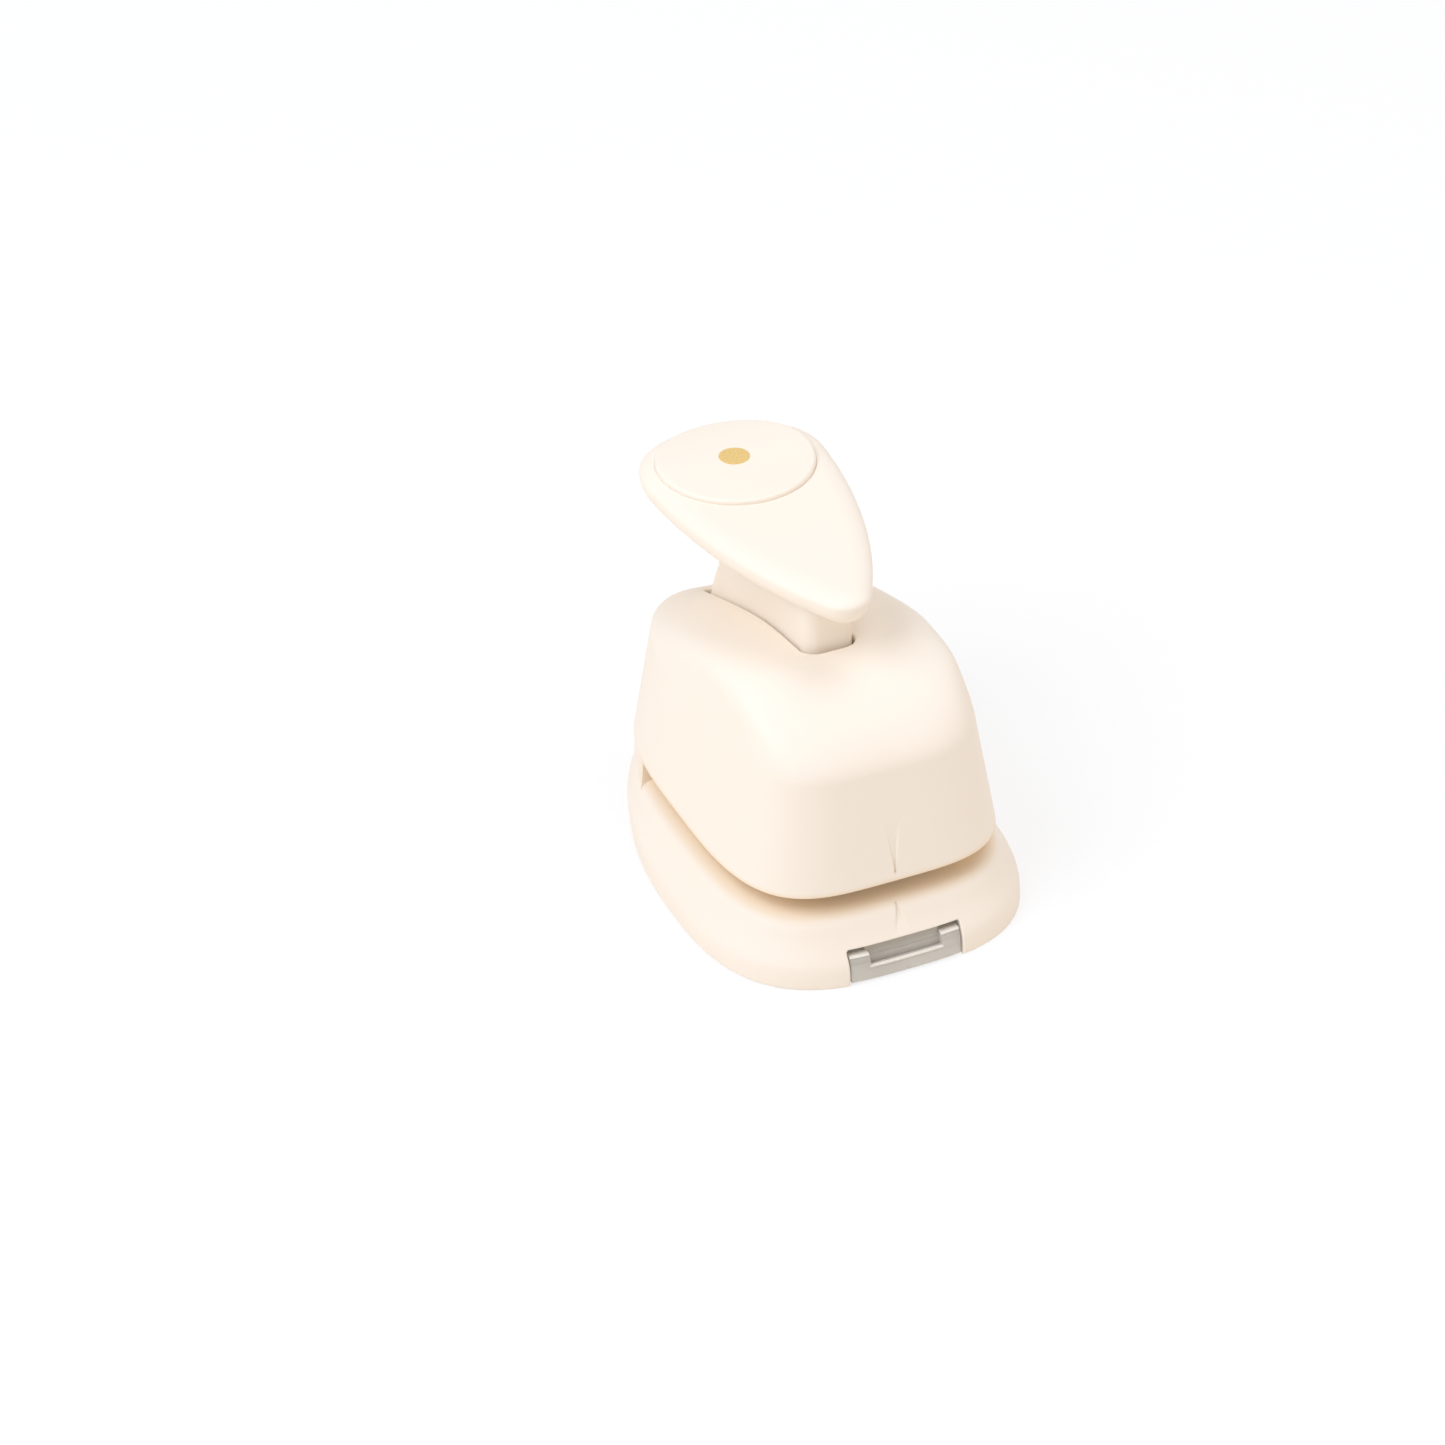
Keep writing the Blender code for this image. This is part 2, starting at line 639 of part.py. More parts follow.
def tilted(item):
    """Put a piece that is drawn round the pad's centre, with the cap's top at zero, in its place."""
    matrix = (Matrix.Translation((0.0, back(CAP_CENTRE_BACK), CAP_HEIGHT))
              @ Matrix.Rotation(-CAP_TILT, 4, "X"))
    item.data.transform(matrix)
    return item


def cap_screw_places():
    return ((-CAP_SCREW_AHEAD, "front"), (-CAP_SCREW_AHEAD + CAP_SCREW_PITCH, "rear"))


def lever_cap(material):
    rings = []
    for i in range(2 * ARC_STEPS + 1):
        angle = math.pi * i / (2 * ARC_STEPS) - math.pi / 2
        rise = CAP_UPPER if angle > 0 else CAP_THICKNESS - CAP_UPPER
        rings.append(level(teardrop(CAP_EDGE * (1.0 - math.cos(angle))), rise * math.sin(angle) - CAP_UPPER))
    cap = tilted(loft("lever_cap", rings, material))
    pocket = tilted(prism("cap_pocket_cutter", teardrop(CAP_POCKET_INSET), -CAP_THICKNESS - OVERRUN,
                          -CAP_ROOF))
    spine = tilted(box("cap_spine", (-CAP_SPINE / 2, -CAP_TIP_REACH - REACH, -CAP_THICKNESS - 2 * OVERRUN),
                       (CAP_SPINE / 2, CAP_SPINE_TAIL, OVERRUN)))
    combine(pocket, spine, "DIFFERENCE")
    recess = tilted(drum("disc_recess_cutter", DISC_RADIUS + SEAT_GAP / 2,
                         DISC_PROUD - DISC_THICKNESS - SEAT_GAP, OVERRUN, (0.0, 0.0, 0.0),
                         points=PLAN_POINTS))
    cut(cap, pocket, recess)
    for place, label in cap_screw_places():
        cut(cap, tilted(turned("cap_screw_hole_" + label, screw_hole_profile(), (0.0, place, 0.0),
                               points=SMALL_POINTS)))
    return cap


def screw_hole_profile():
    """Counterbored hole in the cap, from its underside up to the floor of the pad's recess."""
    seat = cap_screw_seat()
    shank = SCREW_RADIUS + SEAT_GAP
    return ((shank, -CAP_THICKNESS - OVERRUN), (shank, seat), (SCREW_HEAD_RADIUS + SEAT_GAP, seat),
            (SCREW_HEAD_RADIUS + SEAT_GAP, DISC_PROUD))


def cap_screw_seat():
    return DISC_PROUD - DISC_THICKNESS - 2 * SEAT_GAP - SCREW_HEAD - SEAT_GAP


def cap_disc(material):
    low = DISC_PROUD - DISC_THICKNESS
    profile = [(DISC_RADIUS, low)]
    profile += arc((DISC_RADIUS - DISC_EDGE, DISC_PROUD - DISC_EDGE), DISC_EDGE, 0, 90, 3)
    return tilted(turned("cap_disc", profile, (0.0, 0.0, 0.0), points=PLAN_POINTS, material=material))


# Screws

def screw_profile(shank_radius, length, head_radius, head):
    """Pan head above zero, with a rounded edge, and a plain shank below it."""
    edge = head / 2
    tip = shank_radius / 2
    profile = [(tip, -length), (shank_radius, tip - length), (shank_radius, 0.0), (head_radius, 0.0)]
    return profile + arc((head_radius - edge, head - edge), edge, 0, 90, 3)


def screw(name, centre, material, sizes, upwards=False, in_cap=False):
    """A screw with a cross drive. Its seat is at centre, and its head points up unless upwards is set."""
    shank_radius, length, head_radius, head = sizes
    item = turned(name, screw_profile(*sizes), (0.0, 0.0, 0.0), points=SMALL_POINTS, material=material)
    reach = head_radius * DRIVE_SHARE
    depth = head * DRIVE_DEPTH_SHARE
    bars = [box(name + "_drive_" + label, (-a, -b, head - depth), (a, b, head + OVERRUN))
            for a, b, label in ((reach, DRIVE_WIDTH / 2, "x"), (DRIVE_WIDTH / 2, reach, "y"))]
    for part in [item] + bars:
        if upwards:
            part.data.transform(Matrix.Rotation(math.pi, 4, "X"))
        part.data.transform(Matrix.Translation(centre))
        if in_cap:
            tilted(part)
    cut(item, *bars)
    return item


def cap_screws(material):
    seat = cap_screw_seat() + SEAT_GAP
    sizes = (SCREW_RADIUS, SCREW_LENGTH + CAP_THICKNESS / 2, SCREW_HEAD_RADIUS, SCREW_HEAD)
    return [screw("cap_screw_" + label, (0.0, place, seat), material, sizes, in_cap=True)
            for place, label in cap_screw_places()]


def jaw_screws(material):
    sizes = (SCREW_RADIUS, SCREW_LENGTH, SCREW_HEAD_RADIUS, SCREW_HEAD)
    for x, y, label in post_places():
        screw("jaw_screw_" + label, (x, y, LOWER_JAW_BOTTOM - SEAT_GAP), material, sizes, upwards=True)


def clamp_screws(material):
    length = UPPER_JAW_TOP + SEAT_GAP - LOWER_JAW_BOTTOM - SEAT_GAP
    sizes = (CLAMP_RADIUS, length, CLAMP_HEAD_RADIUS, CLAMP_HEAD)
    for x, label in ((-CLAMP_SPACING / 2, "left"), (CLAMP_SPACING / 2, "right")):
        screw("clamp_screw_" + label, (x, back(CLAMP_BACK), UPPER_JAW_TOP + SEAT_GAP), material, sizes)


def clamp_hole(label, x, low, high):
    return drum("clamp_hole_" + label, CLAMP_RADIUS + SEAT_GAP, low, high, (x, back(CLAMP_BACK), 0.0),
                points=SMALL_POINTS)


# Axle and what holds it

def lever_axle(material):
    end = EAR_OUTER + CLIP_THICKNESS + 2 * SEAT_GAP + AXLE_END
    chamfer = AXLE_RADIUS / 4
    profile = ((AXLE_RADIUS - chamfer, -end), (AXLE_RADIUS, chamfer - end),
               (AXLE_RADIUS, end - chamfer), (AXLE_RADIUS - chamfer, end))
    return turned("lever_axle", profile, (0.0, back(PIVOT_BACK), PIVOT_HEIGHT), "X", ROUND_POINTS, material)


def axle_washers(material):
    centre = (0.0, back(PIVOT_BACK), PIVOT_HEIGHT)
    for side, label in ((-1, "left"), (1, "right")):
        ends = sorted(side * x for x in (ARM_HALF + SEAT_GAP, ARM_HALF + SEAT_GAP + WASHER_THICKNESS))
        ring = drum("lever_washer_" + label, WASHER_RADIUS, ends[0], ends[1], centre, "X", material=material)
        cut(ring, drum("washer_bore_" + label, AXLE_RADIUS + SEAT_GAP, ends[0] - OVERRUN, ends[1] + OVERRUN,
                       centre, "X"))


def axle_clips(material):
    """Open spring clips at both ends of the axle, with a mouth that faces down."""
    centre = (0.0, back(PIVOT_BACK), PIVOT_HEIGHT)
    for side, label in ((-1, "left"), (1, "right")):
        ends = sorted(side * x for x in (EAR_OUTER + SEAT_GAP, EAR_OUTER + SEAT_GAP + CLIP_THICKNESS))
        clip = drum("axle_clip_" + label, CLIP_RADIUS, ends[0], ends[1], centre, "X", material=material)
        cut(clip, drum("clip_bore_" + label, AXLE_RADIUS + SEAT_GAP, ends[0] - OVERRUN, ends[1] + OVERRUN,
                       centre, "X"))
        cut(clip, box("clip_mouth_" + label,
                      (ends[0] - OVERRUN, centre[1] - CLIP_MOUTH / 2,
                       PIVOT_HEIGHT - CLIP_RADIUS - OVERRUN),
                      (ends[1] + OVERRUN, centre[1] + CLIP_MOUTH / 2, PIVOT_HEIGHT)))


# Jaws, die and punch

def upper_jaw(material):
    """Die-cast block over the paper, with two ears for the lever's axle."""
    half = UPPER_JAW_WIDTH / 2
    rear = back(THROAT_DEPTH - STOP_WALL)
    outline = rounded_rectangle(-half, half, back(UPPER_JAW_FRONT), rear, JAW_CORNER)
    lifted = rounded_rectangle(-half + LEAD_IN, half - LEAD_IN, back(UPPER_JAW_FRONT + LEAD_IN), rear,
                               JAW_CORNER - LEAD_IN)
    jaw = loft("upper_jaw", [level(lifted, UPPER_JAW_BOTTOM), level(outline, UPPER_JAW_BOTTOM + LEAD_IN),
                             level(outline, UPPER_JAW_TOP)], material)
    for side, label in ((-1, "left"), (1, "right")):
        fuse(jaw, axle_ear(side, label))
        x = side * CLAMP_SPACING / 2
        cut(jaw, clamp_hole("upper_" + label, x, UPPER_JAW_BOTTOM - OVERRUN, UPPER_JAW_TOP + OVERRUN))
    bore = ((BUSH_RADIUS + SEAT_GAP, UPPER_JAW_BOTTOM - OVERRUN),
            (BUSH_RADIUS + SEAT_GAP, UPPER_JAW_TOP - BUSH_FLANGE - SEAT_GAP),
            (BUSH_FLANGE_RADIUS + SEAT_GAP, UPPER_JAW_TOP - BUSH_FLANGE - SEAT_GAP),
            (BUSH_FLANGE_RADIUS + SEAT_GAP, UPPER_JAW_TOP + OVERRUN))
    cut(jaw, turned("bush_bore", bore, (0.0, back(PUNCH_BACK), 0.0)))
    cut(jaw, drum("ear_bore", AXLE_RADIUS + RUNNING_GAP, -EAR_OUTER - OVERRUN, EAR_OUTER + OVERRUN,
                  (0.0, back(PIVOT_BACK), PIVOT_HEIGHT), "X"))
    return jaw


def axle_ear(side, label):
    pivot = (back(PIVOT_BACK), PIVOT_HEIGHT)
    low = UPPER_JAW_TOP - UPPER_JAW_THICKNESS / 2
    outline = [(pivot[0] + EAR_FOOT - EAR_RADIUS, low)] + arc(pivot, EAR_RADIUS, 10, 180)
    outline.append((pivot[0] - EAR_RADIUS, low))
    return prism("axle_ear_" + label, outline, side * EAR_INNER, side * EAR_OUTER, "X")


def guide_bush(material):
    bottom = UPPER_JAW_BOTTOM
    profile = ((BUSH_RADIUS, bottom), (BUSH_RADIUS, UPPER_JAW_TOP - BUSH_FLANGE),
               (BUSH_FLANGE_RADIUS, UPPER_JAW_TOP - BUSH_FLANGE), (BUSH_FLANGE_RADIUS, UPPER_JAW_TOP))
    bush = turned("guide_bush", profile, (0.0, back(PUNCH_BACK), 0.0), material=material)
    cut(bush, drum("guide_bore", PUNCH_RADIUS + RUNNING_GAP, bottom - OVERRUN, UPPER_JAW_TOP + OVERRUN,
                   (0.0, back(PUNCH_BACK), 0.0)))
    return bush


def lower_jaw(material):
    """Die-cast block under the paper, hollow from below, with a chute under the die and a flange."""
    half = JAW_OPENING_WIDTH / 2 - SEAT_GAP
    front, rear = back(JAW_OPENING_FRONT + SEAT_GAP), back(THROAT_DEPTH - 2 * SEAT_GAP)
    jaw = prism("lower_jaw", rounded_rectangle(-half, half, front, rear, JAW_CORNER - SEAT_GAP),
                LOWER_JAW_BOTTOM, DECK_HEIGHT, "Z", material)
    flange_half = FLANGE_WIDTH / 2
    fuse(jaw, prism("jaw_flange", rounded_rectangle(-flange_half, flange_half, back(FLANGE_FRONT),
                                                    back(FLANGE_BACK), POST_RADIUS),
                    LOWER_JAW_BOTTOM, LOWER_JAW_BOTTOM + FLANGE_THICKNESS))
    wall = LOWER_JAW_WALL
    pocket = prism("jaw_pocket_cutter",
                   rounded_rectangle(-half + wall, half - wall, front + wall,
                                     back(CLAMP_BACK - SPACER_DEPTH / 2), JAW_CORNER - wall / 2),
                   LOWER_JAW_BOTTOM - OVERRUN, DECK_HEIGHT - LOWER_JAW_ROOF)
    centre = (0.0, back(PUNCH_BACK), 0.0)
    combine(pocket, drum("chute_wall", CHUTE_RADIUS + CHUTE_WALL, -OVERRUN, DECK_HEIGHT, centre),
            "DIFFERENCE")
    cut(jaw, pocket)
    cut(jaw, drum("chute_cutter", CHUTE_RADIUS, -OVERRUN, DECK_HEIGHT + OVERRUN, centre))
    seat = DIE_SIZE / 2 + SEAT_GAP
    cut(jaw, prism("die_seat_cutter", rounded_rectangle(-seat, seat, centre[1] - seat, centre[1] + seat,
                                                        DIE_CORNER),
                   DECK_HEIGHT - DIE_THICKNESS - SEAT_GAP, DECK_HEIGHT + OVERRUN))
    for x, label in ((-CLAMP_SPACING / 2, "left"), (CLAMP_SPACING / 2, "right")):
        cut(jaw, clamp_hole("lower_" + label, x, LOWER_JAW_BOTTOM - OVERRUN, DECK_HEIGHT + OVERRUN))
    for x, y, label in post_places():
        cut(jaw, drum("flange_hole_" + label, SCREW_RADIUS + SEAT_GAP, LOWER_JAW_BOTTOM - OVERRUN,
                      LOWER_JAW_BOTTOM + FLANGE_THICKNESS + OVERRUN, (x, y, 0.0), points=SMALL_POINTS))
    return jaw


def die_plate(material):
    half = DIE_SIZE / 2
    centre = (0.0, back(PUNCH_BACK), 0.0)
    plate = prism("die_plate", rounded_rectangle(-half, half, centre[1] - half, centre[1] + half, DIE_CORNER),
                  DECK_HEIGHT - DIE_THICKNESS, DECK_HEIGHT, "Z", material)
    cut(plate, drum("die_hole", PUNCH_RADIUS + RUNNING_GAP, DECK_HEIGHT - DIE_THICKNESS - OVERRUN,
                    DECK_HEIGHT + OVERRUN, centre))
    return plate


def throat_spacer(material):
    half = UPPER_JAW_WIDTH / 2
    front = CLAMP_BACK - SPACER_DEPTH / 2 + SEAT_GAP
    outline = rounded_rectangle(-half, half, back(front), back(THROAT_DEPTH - STOP_WALL), CLAMP_RADIUS)
    spacer = prism("throat_spacer", outline, DECK_HEIGHT + SEAT_GAP, UPPER_JAW_BOTTOM - SEAT_GAP, "Z",
                   material)
    for x, label in ((-CLAMP_SPACING / 2, "left"), (CLAMP_SPACING / 2, "right")):
        cut(spacer, clamp_hole("spacer_" + label, x, DECK_HEIGHT - OVERRUN, UPPER_JAW_BOTTOM + OVERRUN))
    return spacer


def punch_pin(material):
    tip = UPPER_JAW_BOTTOM + PUNCH_TIP_RECESS
    shoulder = HEAD_BOTTOM - SEAT_GAP
    profile = ((PUNCH_RADIUS, tip), (PUNCH_RADIUS, shoulder), (PUNCH_NECK_RADIUS, shoulder),
               (PUNCH_NECK_RADIUS, HEAD_BOTTOM + PUNCH_NECK_LENGTH))
    return turned("punch", profile, (0.0, back(PUNCH_BACK), 0.0), material=material)


def punch_head(material):
    edge = HEAD_THICKNESS / 4
    profile = [(HEAD_RADIUS - edge, HEAD_BOTTOM), (HEAD_RADIUS, HEAD_BOTTOM + edge)]
    profile += arc((HEAD_RADIUS - edge, HEAD_TOP - edge), edge, 0, 90, 3)
    head = turned("punch_head", profile, (0.0, back(PUNCH_BACK), 0.0), material=material)
    cut(head, drum("head_bore", PUNCH_NECK_RADIUS + RUNNING_GAP, HEAD_BOTTOM - OVERRUN,
                   HEAD_BOTTOM + PUNCH_NECK_LENGTH + SEAT_GAP, (0.0, back(PUNCH_BACK), 0.0)))
    return head


def return_spring(material):
    """Compression spring round the punch, from the guide bush up to the head."""
    wire = SPRING_WIRE / 2
    low = UPPER_JAW_TOP + SEAT_GAP + wire
    high = HEAD_BOTTOM - SEAT_GAP - wire
    count = round(SPRING_TURNS * SPRING_STEPS)
    places = []
    for i in range(count + 1):
        angle = math.tau * i / SPRING_STEPS
        places.append(Vector((SPRING_RADIUS * math.cos(angle),
                              back(PUNCH_BACK) + SPRING_RADIUS * math.sin(angle),
                              mix(low, high, i / count))))
    gap = min((a - b).length for i, a in enumerate(places) for b in places[i + SPRING_STEPS // 2:])
    gap -= SPRING_WIRE
    print(f"return_spring: {SPRING_TURNS} turns, least gap to itself {gap * 1000:.2f} mm")
    curve = bpy.data.curves.new("return_spring", "CURVE")
    curve.dimensions = "3D"
    curve.bevel_depth = wire
    curve.bevel_resolution = 1
    curve.use_fill_caps = True
    line = curve.splines.new("POLY")
    line.points.add(count)
    for point, place in zip(line.points, places):
        point.co = (*place, 1.0)
    curve.materials.append(material)
    item = bpy.data.objects.new("return_spring", curve)
    bpy.context.scene.collection.objects.link(item)
    return item


# Clear tray

def tray_outline(inset):
    edge = WALL + TRAY_GAP + inset
    return [(x, min(y, back(TRAY_BACK) - inset)) for x, y in skin_outline(0.0, edge, INNER_POINTS)]


def waste_tray(material):
    """Clear bottom cover that catches the punched paper, with a finger tab in front and a hinge at the rear."""
    low = TRAY_GAP
    floor_top = low + TRAY_FLOOR
    tray = prism("waste_tray", tray_outline(0.0), low, TRAY_RIM_HEIGHT, "Z", material)
    rear_reach = box("tray_rear_cutter", (-HALF_WIDTH, back(TRAY_BACK - TRAY_WALL), floor_top),
                     (HALF_WIDTH, back(TRAY_SHELF), TRAY_RIM_HEIGHT + OVERRUN))
    cut(tray, prism("tray_hollow_cutter", tray_outline(TRAY_WALL), floor_top, TRAY_RIM_HEIGHT + OVERRUN))
    cut(tray, rear_reach)
    half = TONGUE_WIDTH / 2
    fuse(tray, box("tray_tongue", (-half, back(TRAY_BACK - TRAY_WALL), low),
                   (half, back(TONGUE_BACK), floor_top)))
    for side, label in ((-1, "left"), (1, "right")):
        fuse(tray, tray_knuckle(side, label), tray_pin(side, label))
    fuse(tray, finger_tab())
    cut(tray, tab_recess(), tab_nick())
    fuse(tray, tab_ridge())
    return tray


def tray_knuckle(side, label):
    centre = (back(TRAY_HINGE_BACK), TRAY_HINGE_HEIGHT)
    low = TRAY_GAP + TRAY_FLOOR / 2
    outline = [(centre[0] + TRAY_KNUCKLE_RADIUS, low)] + arc(centre, TRAY_KNUCKLE_RADIUS, 0, 180)
    outline.append((centre[0] - TRAY_KNUCKLE_RADIUS, low))
    outer = TONGUE_WIDTH / 2
    return prism("tray_knuckle_" + label, outline, side * (outer - TRAY_KNUCKLE_WIDTH), side * outer, "X")


def tray_pin(side, label):
    outer = TONGUE_WIDTH / 2
    ends = sorted((side * (outer - TRAY_KNUCKLE_WIDTH / 2),
                   side * (outer + TRAY_GAP + TRAY_PIN_LENGTH - PIN_GAP)))
    return drum("tray_pin_" + label, TRAY_PIN_RADIUS, ends[0], ends[1],
                (0.0, back(TRAY_HINGE_BACK), TRAY_HINGE_HEIGHT), "X", SMALL_POINTS)


def skin_front(x, height):
    """Y of the housing's skin in front, this far from the middle and at this height."""
    outline = skin_outline(height, 0.0, 4 * PLAN_POINTS)
    outline = sorted(point for point in outline
                     if point[1] < back(WIDEST_BASE) and abs(point[0]) < NOTCH_WIDTH)
    for left, right in zip(outline, outline[1:]):
        if left[0] <= x <= right[0]:
            return mix(left[1], right[1], (x - left[0]) / (right[0] - left[0]))
    return outline[0][1]


def tab_strip(name, half, setback, thickness, low, high):
    """Strip in the front notch that follows the curve and the lean of the housing's skin."""
    steps = 2 * ARC_STEPS
    places = [half * (2.0 * i / steps - 1.0) for i in range(steps + 1)]
    rings = []
    for share in TAB_SHARES:
        height = mix(low, high, share)
        front = [(x, skin_front(x, height) + setback) for x in places]
        rear = [(x, y + thickness) for x, y in reversed(front)]
        rings.append(level(front + rear, height))
    return loft(name, rings)


def finger_tab():
    half = NOTCH_WIDTH / 2 - TRAY_GAP
    return tab_strip("finger_tab", half, TAB_SETBACK, TAB_THICKNESS, TRAY_GAP, TAB_HEIGHT)


def tab_recess():
    """Hollow in the tab's face between its two end lugs."""
    half = NOTCH_WIDTH / 2 - TRAY_GAP - TAB_LUG_WIDTH
    return tab_strip("tab_recess_cutter", half, -TAB_SETBACK, 2 * TAB_SETBACK + TAB_RECESS,
                     TRAY_GAP + TRAY_FLOOR, TAB_HEIGHT + OVERRUN)


def tab_ridge():
    """Thin rib across the recess that a fingernail catches on."""
    half = NOTCH_WIDTH / 2 - TRAY_GAP - TAB_LUG_WIDTH / 2
    top = TAB_HEIGHT - TAB_RIDGE
    return tab_strip("tab_ridge", half, TAB_SETBACK + TAB_RIDGE / 2, TAB_RECESS + TAB_RIDGE / 2,
                     top - TAB_RIDGE, top)


def tab_nick():
    """Small centre mark in the bottom edge of the tab."""
    front = FRONT_Y
    outline = ((-TAB_NICK, front - TAB_NICK), (TAB_NICK, front - TAB_NICK),
               (0.0, front + TAB_SETBACK + TAB_NICK))
    return prism("tab_nick_cutter", outline, -OVERRUN, TRAY_GAP + TRAY_FLOOR)


def build():
    clear_scene()
    cream = plastic("cream_abs", (0.89, 0.80, 0.68), 0.42)
    clear = plastic("clear_styrene", (0.62, 0.60, 0.54), 0.12, 0.45)
    acetal = plastic("white_acetal", (0.80, 0.79, 0.76), 0.35)
    zinc = metal("die_cast_zinc", (0.56, 0.57, 0.58), 0.42)
    steel = metal("bright_steel", (0.67, 0.66, 0.64), 0.22)
    bronze = metal("sintered_bronze", (0.55, 0.40, 0.20), 0.38)

    cream_housing(cream)
    pivot_point = (0.0, back(PIVOT_BACK), PIVOT_HEIGHT)
    lever_axis = bpy.data.objects.new("lever_axis", None)
    lever_axis.location = pivot_point
    bpy.context.scene.collection.objects.link(lever_axis)
    bpy.context.view_layer.update()
    for piece in [lever_arm(cream), lever_cap(cream), cap_disc(cream)] + cap_screws(steel):
        carry(piece, pivot_point, lever_axis)
    lever_axle(steel)
    axle_washers(acetal)
    axle_clips(steel)

    upper_jaw(zinc)
    lower_jaw(zinc)
    die_plate(steel)
    guide_bush(bronze)
    throat_spacer(steel)
    clamp_screws(steel)
    jaw_screws(steel)
    punch_pin(steel)
    punch_head(acetal)
    return_spring(steel)

    tray = waste_tray(clear)
    carry(tray, (0.0, back(TRAY_HINGE_BACK), TRAY_HINGE_HEIGHT))


build()
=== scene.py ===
# %% [markdown]
# # Circle punch
#
# This lesson dresses a small lever punch for paper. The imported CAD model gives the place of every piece. The script
# builds finer moulded parts over it, gives each part a finish, and sets up a plain studio.

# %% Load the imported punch
import math

import bmesh
import bpy
import numpy as np
from mathutils import Matrix, Vector


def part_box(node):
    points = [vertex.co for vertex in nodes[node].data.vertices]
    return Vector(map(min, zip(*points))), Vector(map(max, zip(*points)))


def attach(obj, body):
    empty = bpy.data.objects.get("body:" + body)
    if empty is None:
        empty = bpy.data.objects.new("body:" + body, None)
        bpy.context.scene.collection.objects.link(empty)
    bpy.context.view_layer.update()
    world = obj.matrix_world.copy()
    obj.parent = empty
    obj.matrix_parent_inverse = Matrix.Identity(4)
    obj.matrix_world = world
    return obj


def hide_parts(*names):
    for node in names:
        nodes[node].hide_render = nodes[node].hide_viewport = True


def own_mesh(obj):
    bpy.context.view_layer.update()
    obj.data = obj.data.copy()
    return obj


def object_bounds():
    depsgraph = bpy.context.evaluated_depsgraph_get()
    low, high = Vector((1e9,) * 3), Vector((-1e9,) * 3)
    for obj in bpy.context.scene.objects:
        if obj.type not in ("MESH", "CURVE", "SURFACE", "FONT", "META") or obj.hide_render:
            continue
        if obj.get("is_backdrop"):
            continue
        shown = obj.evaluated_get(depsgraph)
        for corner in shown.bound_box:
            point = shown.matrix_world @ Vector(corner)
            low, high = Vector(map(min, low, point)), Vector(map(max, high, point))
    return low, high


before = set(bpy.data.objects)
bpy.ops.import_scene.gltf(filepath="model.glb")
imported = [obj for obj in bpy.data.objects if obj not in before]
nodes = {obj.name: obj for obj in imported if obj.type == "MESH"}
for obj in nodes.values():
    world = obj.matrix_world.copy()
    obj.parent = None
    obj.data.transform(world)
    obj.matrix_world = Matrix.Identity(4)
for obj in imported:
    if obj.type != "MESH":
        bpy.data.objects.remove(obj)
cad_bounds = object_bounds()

print("nodes:", len(nodes))

# %% [markdown]
# ## Camera
#
# The picture looks at the punch from its left front and from above, with a long lens that hardly shrinks what is far
# away. The turn, the height and the lens were found by fitting the base, the throat and the lever to the photograph.

# %% Camera
VIEW_TURN = math.radians(24.5)
VIEW_HEIGHT = math.radians(36.2)
VIEW_DISTANCE = 1.4
VIEW_AIM = Vector((0.00112, 0.03899, 0.0))
SENSOR = 36.0
PICTURE_SIZE = 1445
FOCAL_PIXELS = 6947
FAR_END = 10.0

sight = Vector((math.sin(VIEW_TURN) * math.cos(VIEW_HEIGHT), math.cos(VIEW_TURN) * math.cos(VIEW_HEIGHT),
                -math.sin(VIEW_HEIGHT)))
lens = bpy.data.cameras.new("photo_camera")
lens.sensor_width = SENSOR
lens.lens = SENSOR * FOCAL_PIXELS / PICTURE_SIZE
lens.clip_end = FAR_END
camera = bpy.data.objects.new("photo_camera", lens)
camera.location = VIEW_AIM - sight * VIEW_DISTANCE
camera.rotation_euler = sight.to_track_quat("-Z", "Y").to_euler()
bpy.context.scene.collection.objects.link(camera)
bpy.context.scene.camera = camera
print("lens:", round(lens.lens, 1), "mm")

# %% [markdown]
# ## Studio
#
# A pale floor carries the punch. Camera rays see it almost white, so the page behind stays clean, and a share of real
# shading is kept so that the punch still has a shadow. Big soft lamps stand for the light tent of a product picture.
# Every node tree below is made with the same two helpers.

# %% Helpers for objects and nodes
def link(item):
    bpy.context.scene.collection.objects.link(item)
    return item


def add_node(tree, kind, inputs=None, **settings):
    """Add a node. An input is linked where it is given another node's output, and set where it is given a value."""
    node = tree.nodes.new(kind)
    for label, value in settings.items():
        setattr(node, label, value)
    for label, value in (inputs or {}).items():
        if isinstance(value, bpy.types.NodeSocket):
            tree.links.new(value, node.inputs[label])
        else:
            node.inputs[label].default_value = value
    return node


def math_step(tree, operation, first, second):
    return add_node(tree, "ShaderNodeMath", {0: first, 1: second}, operation=operation).outputs[0]


# %% Floor that looks white and keeps a shadow
FLOOR_SIZE = 6.0
FLOOR_SHADE_SHARE = 0.30
FLOOR_PAINT = (0.96, 0.96, 0.96, 1.0)
FLOOR_BOUNCE = (0.96, 0.90, 0.82, 1.0)


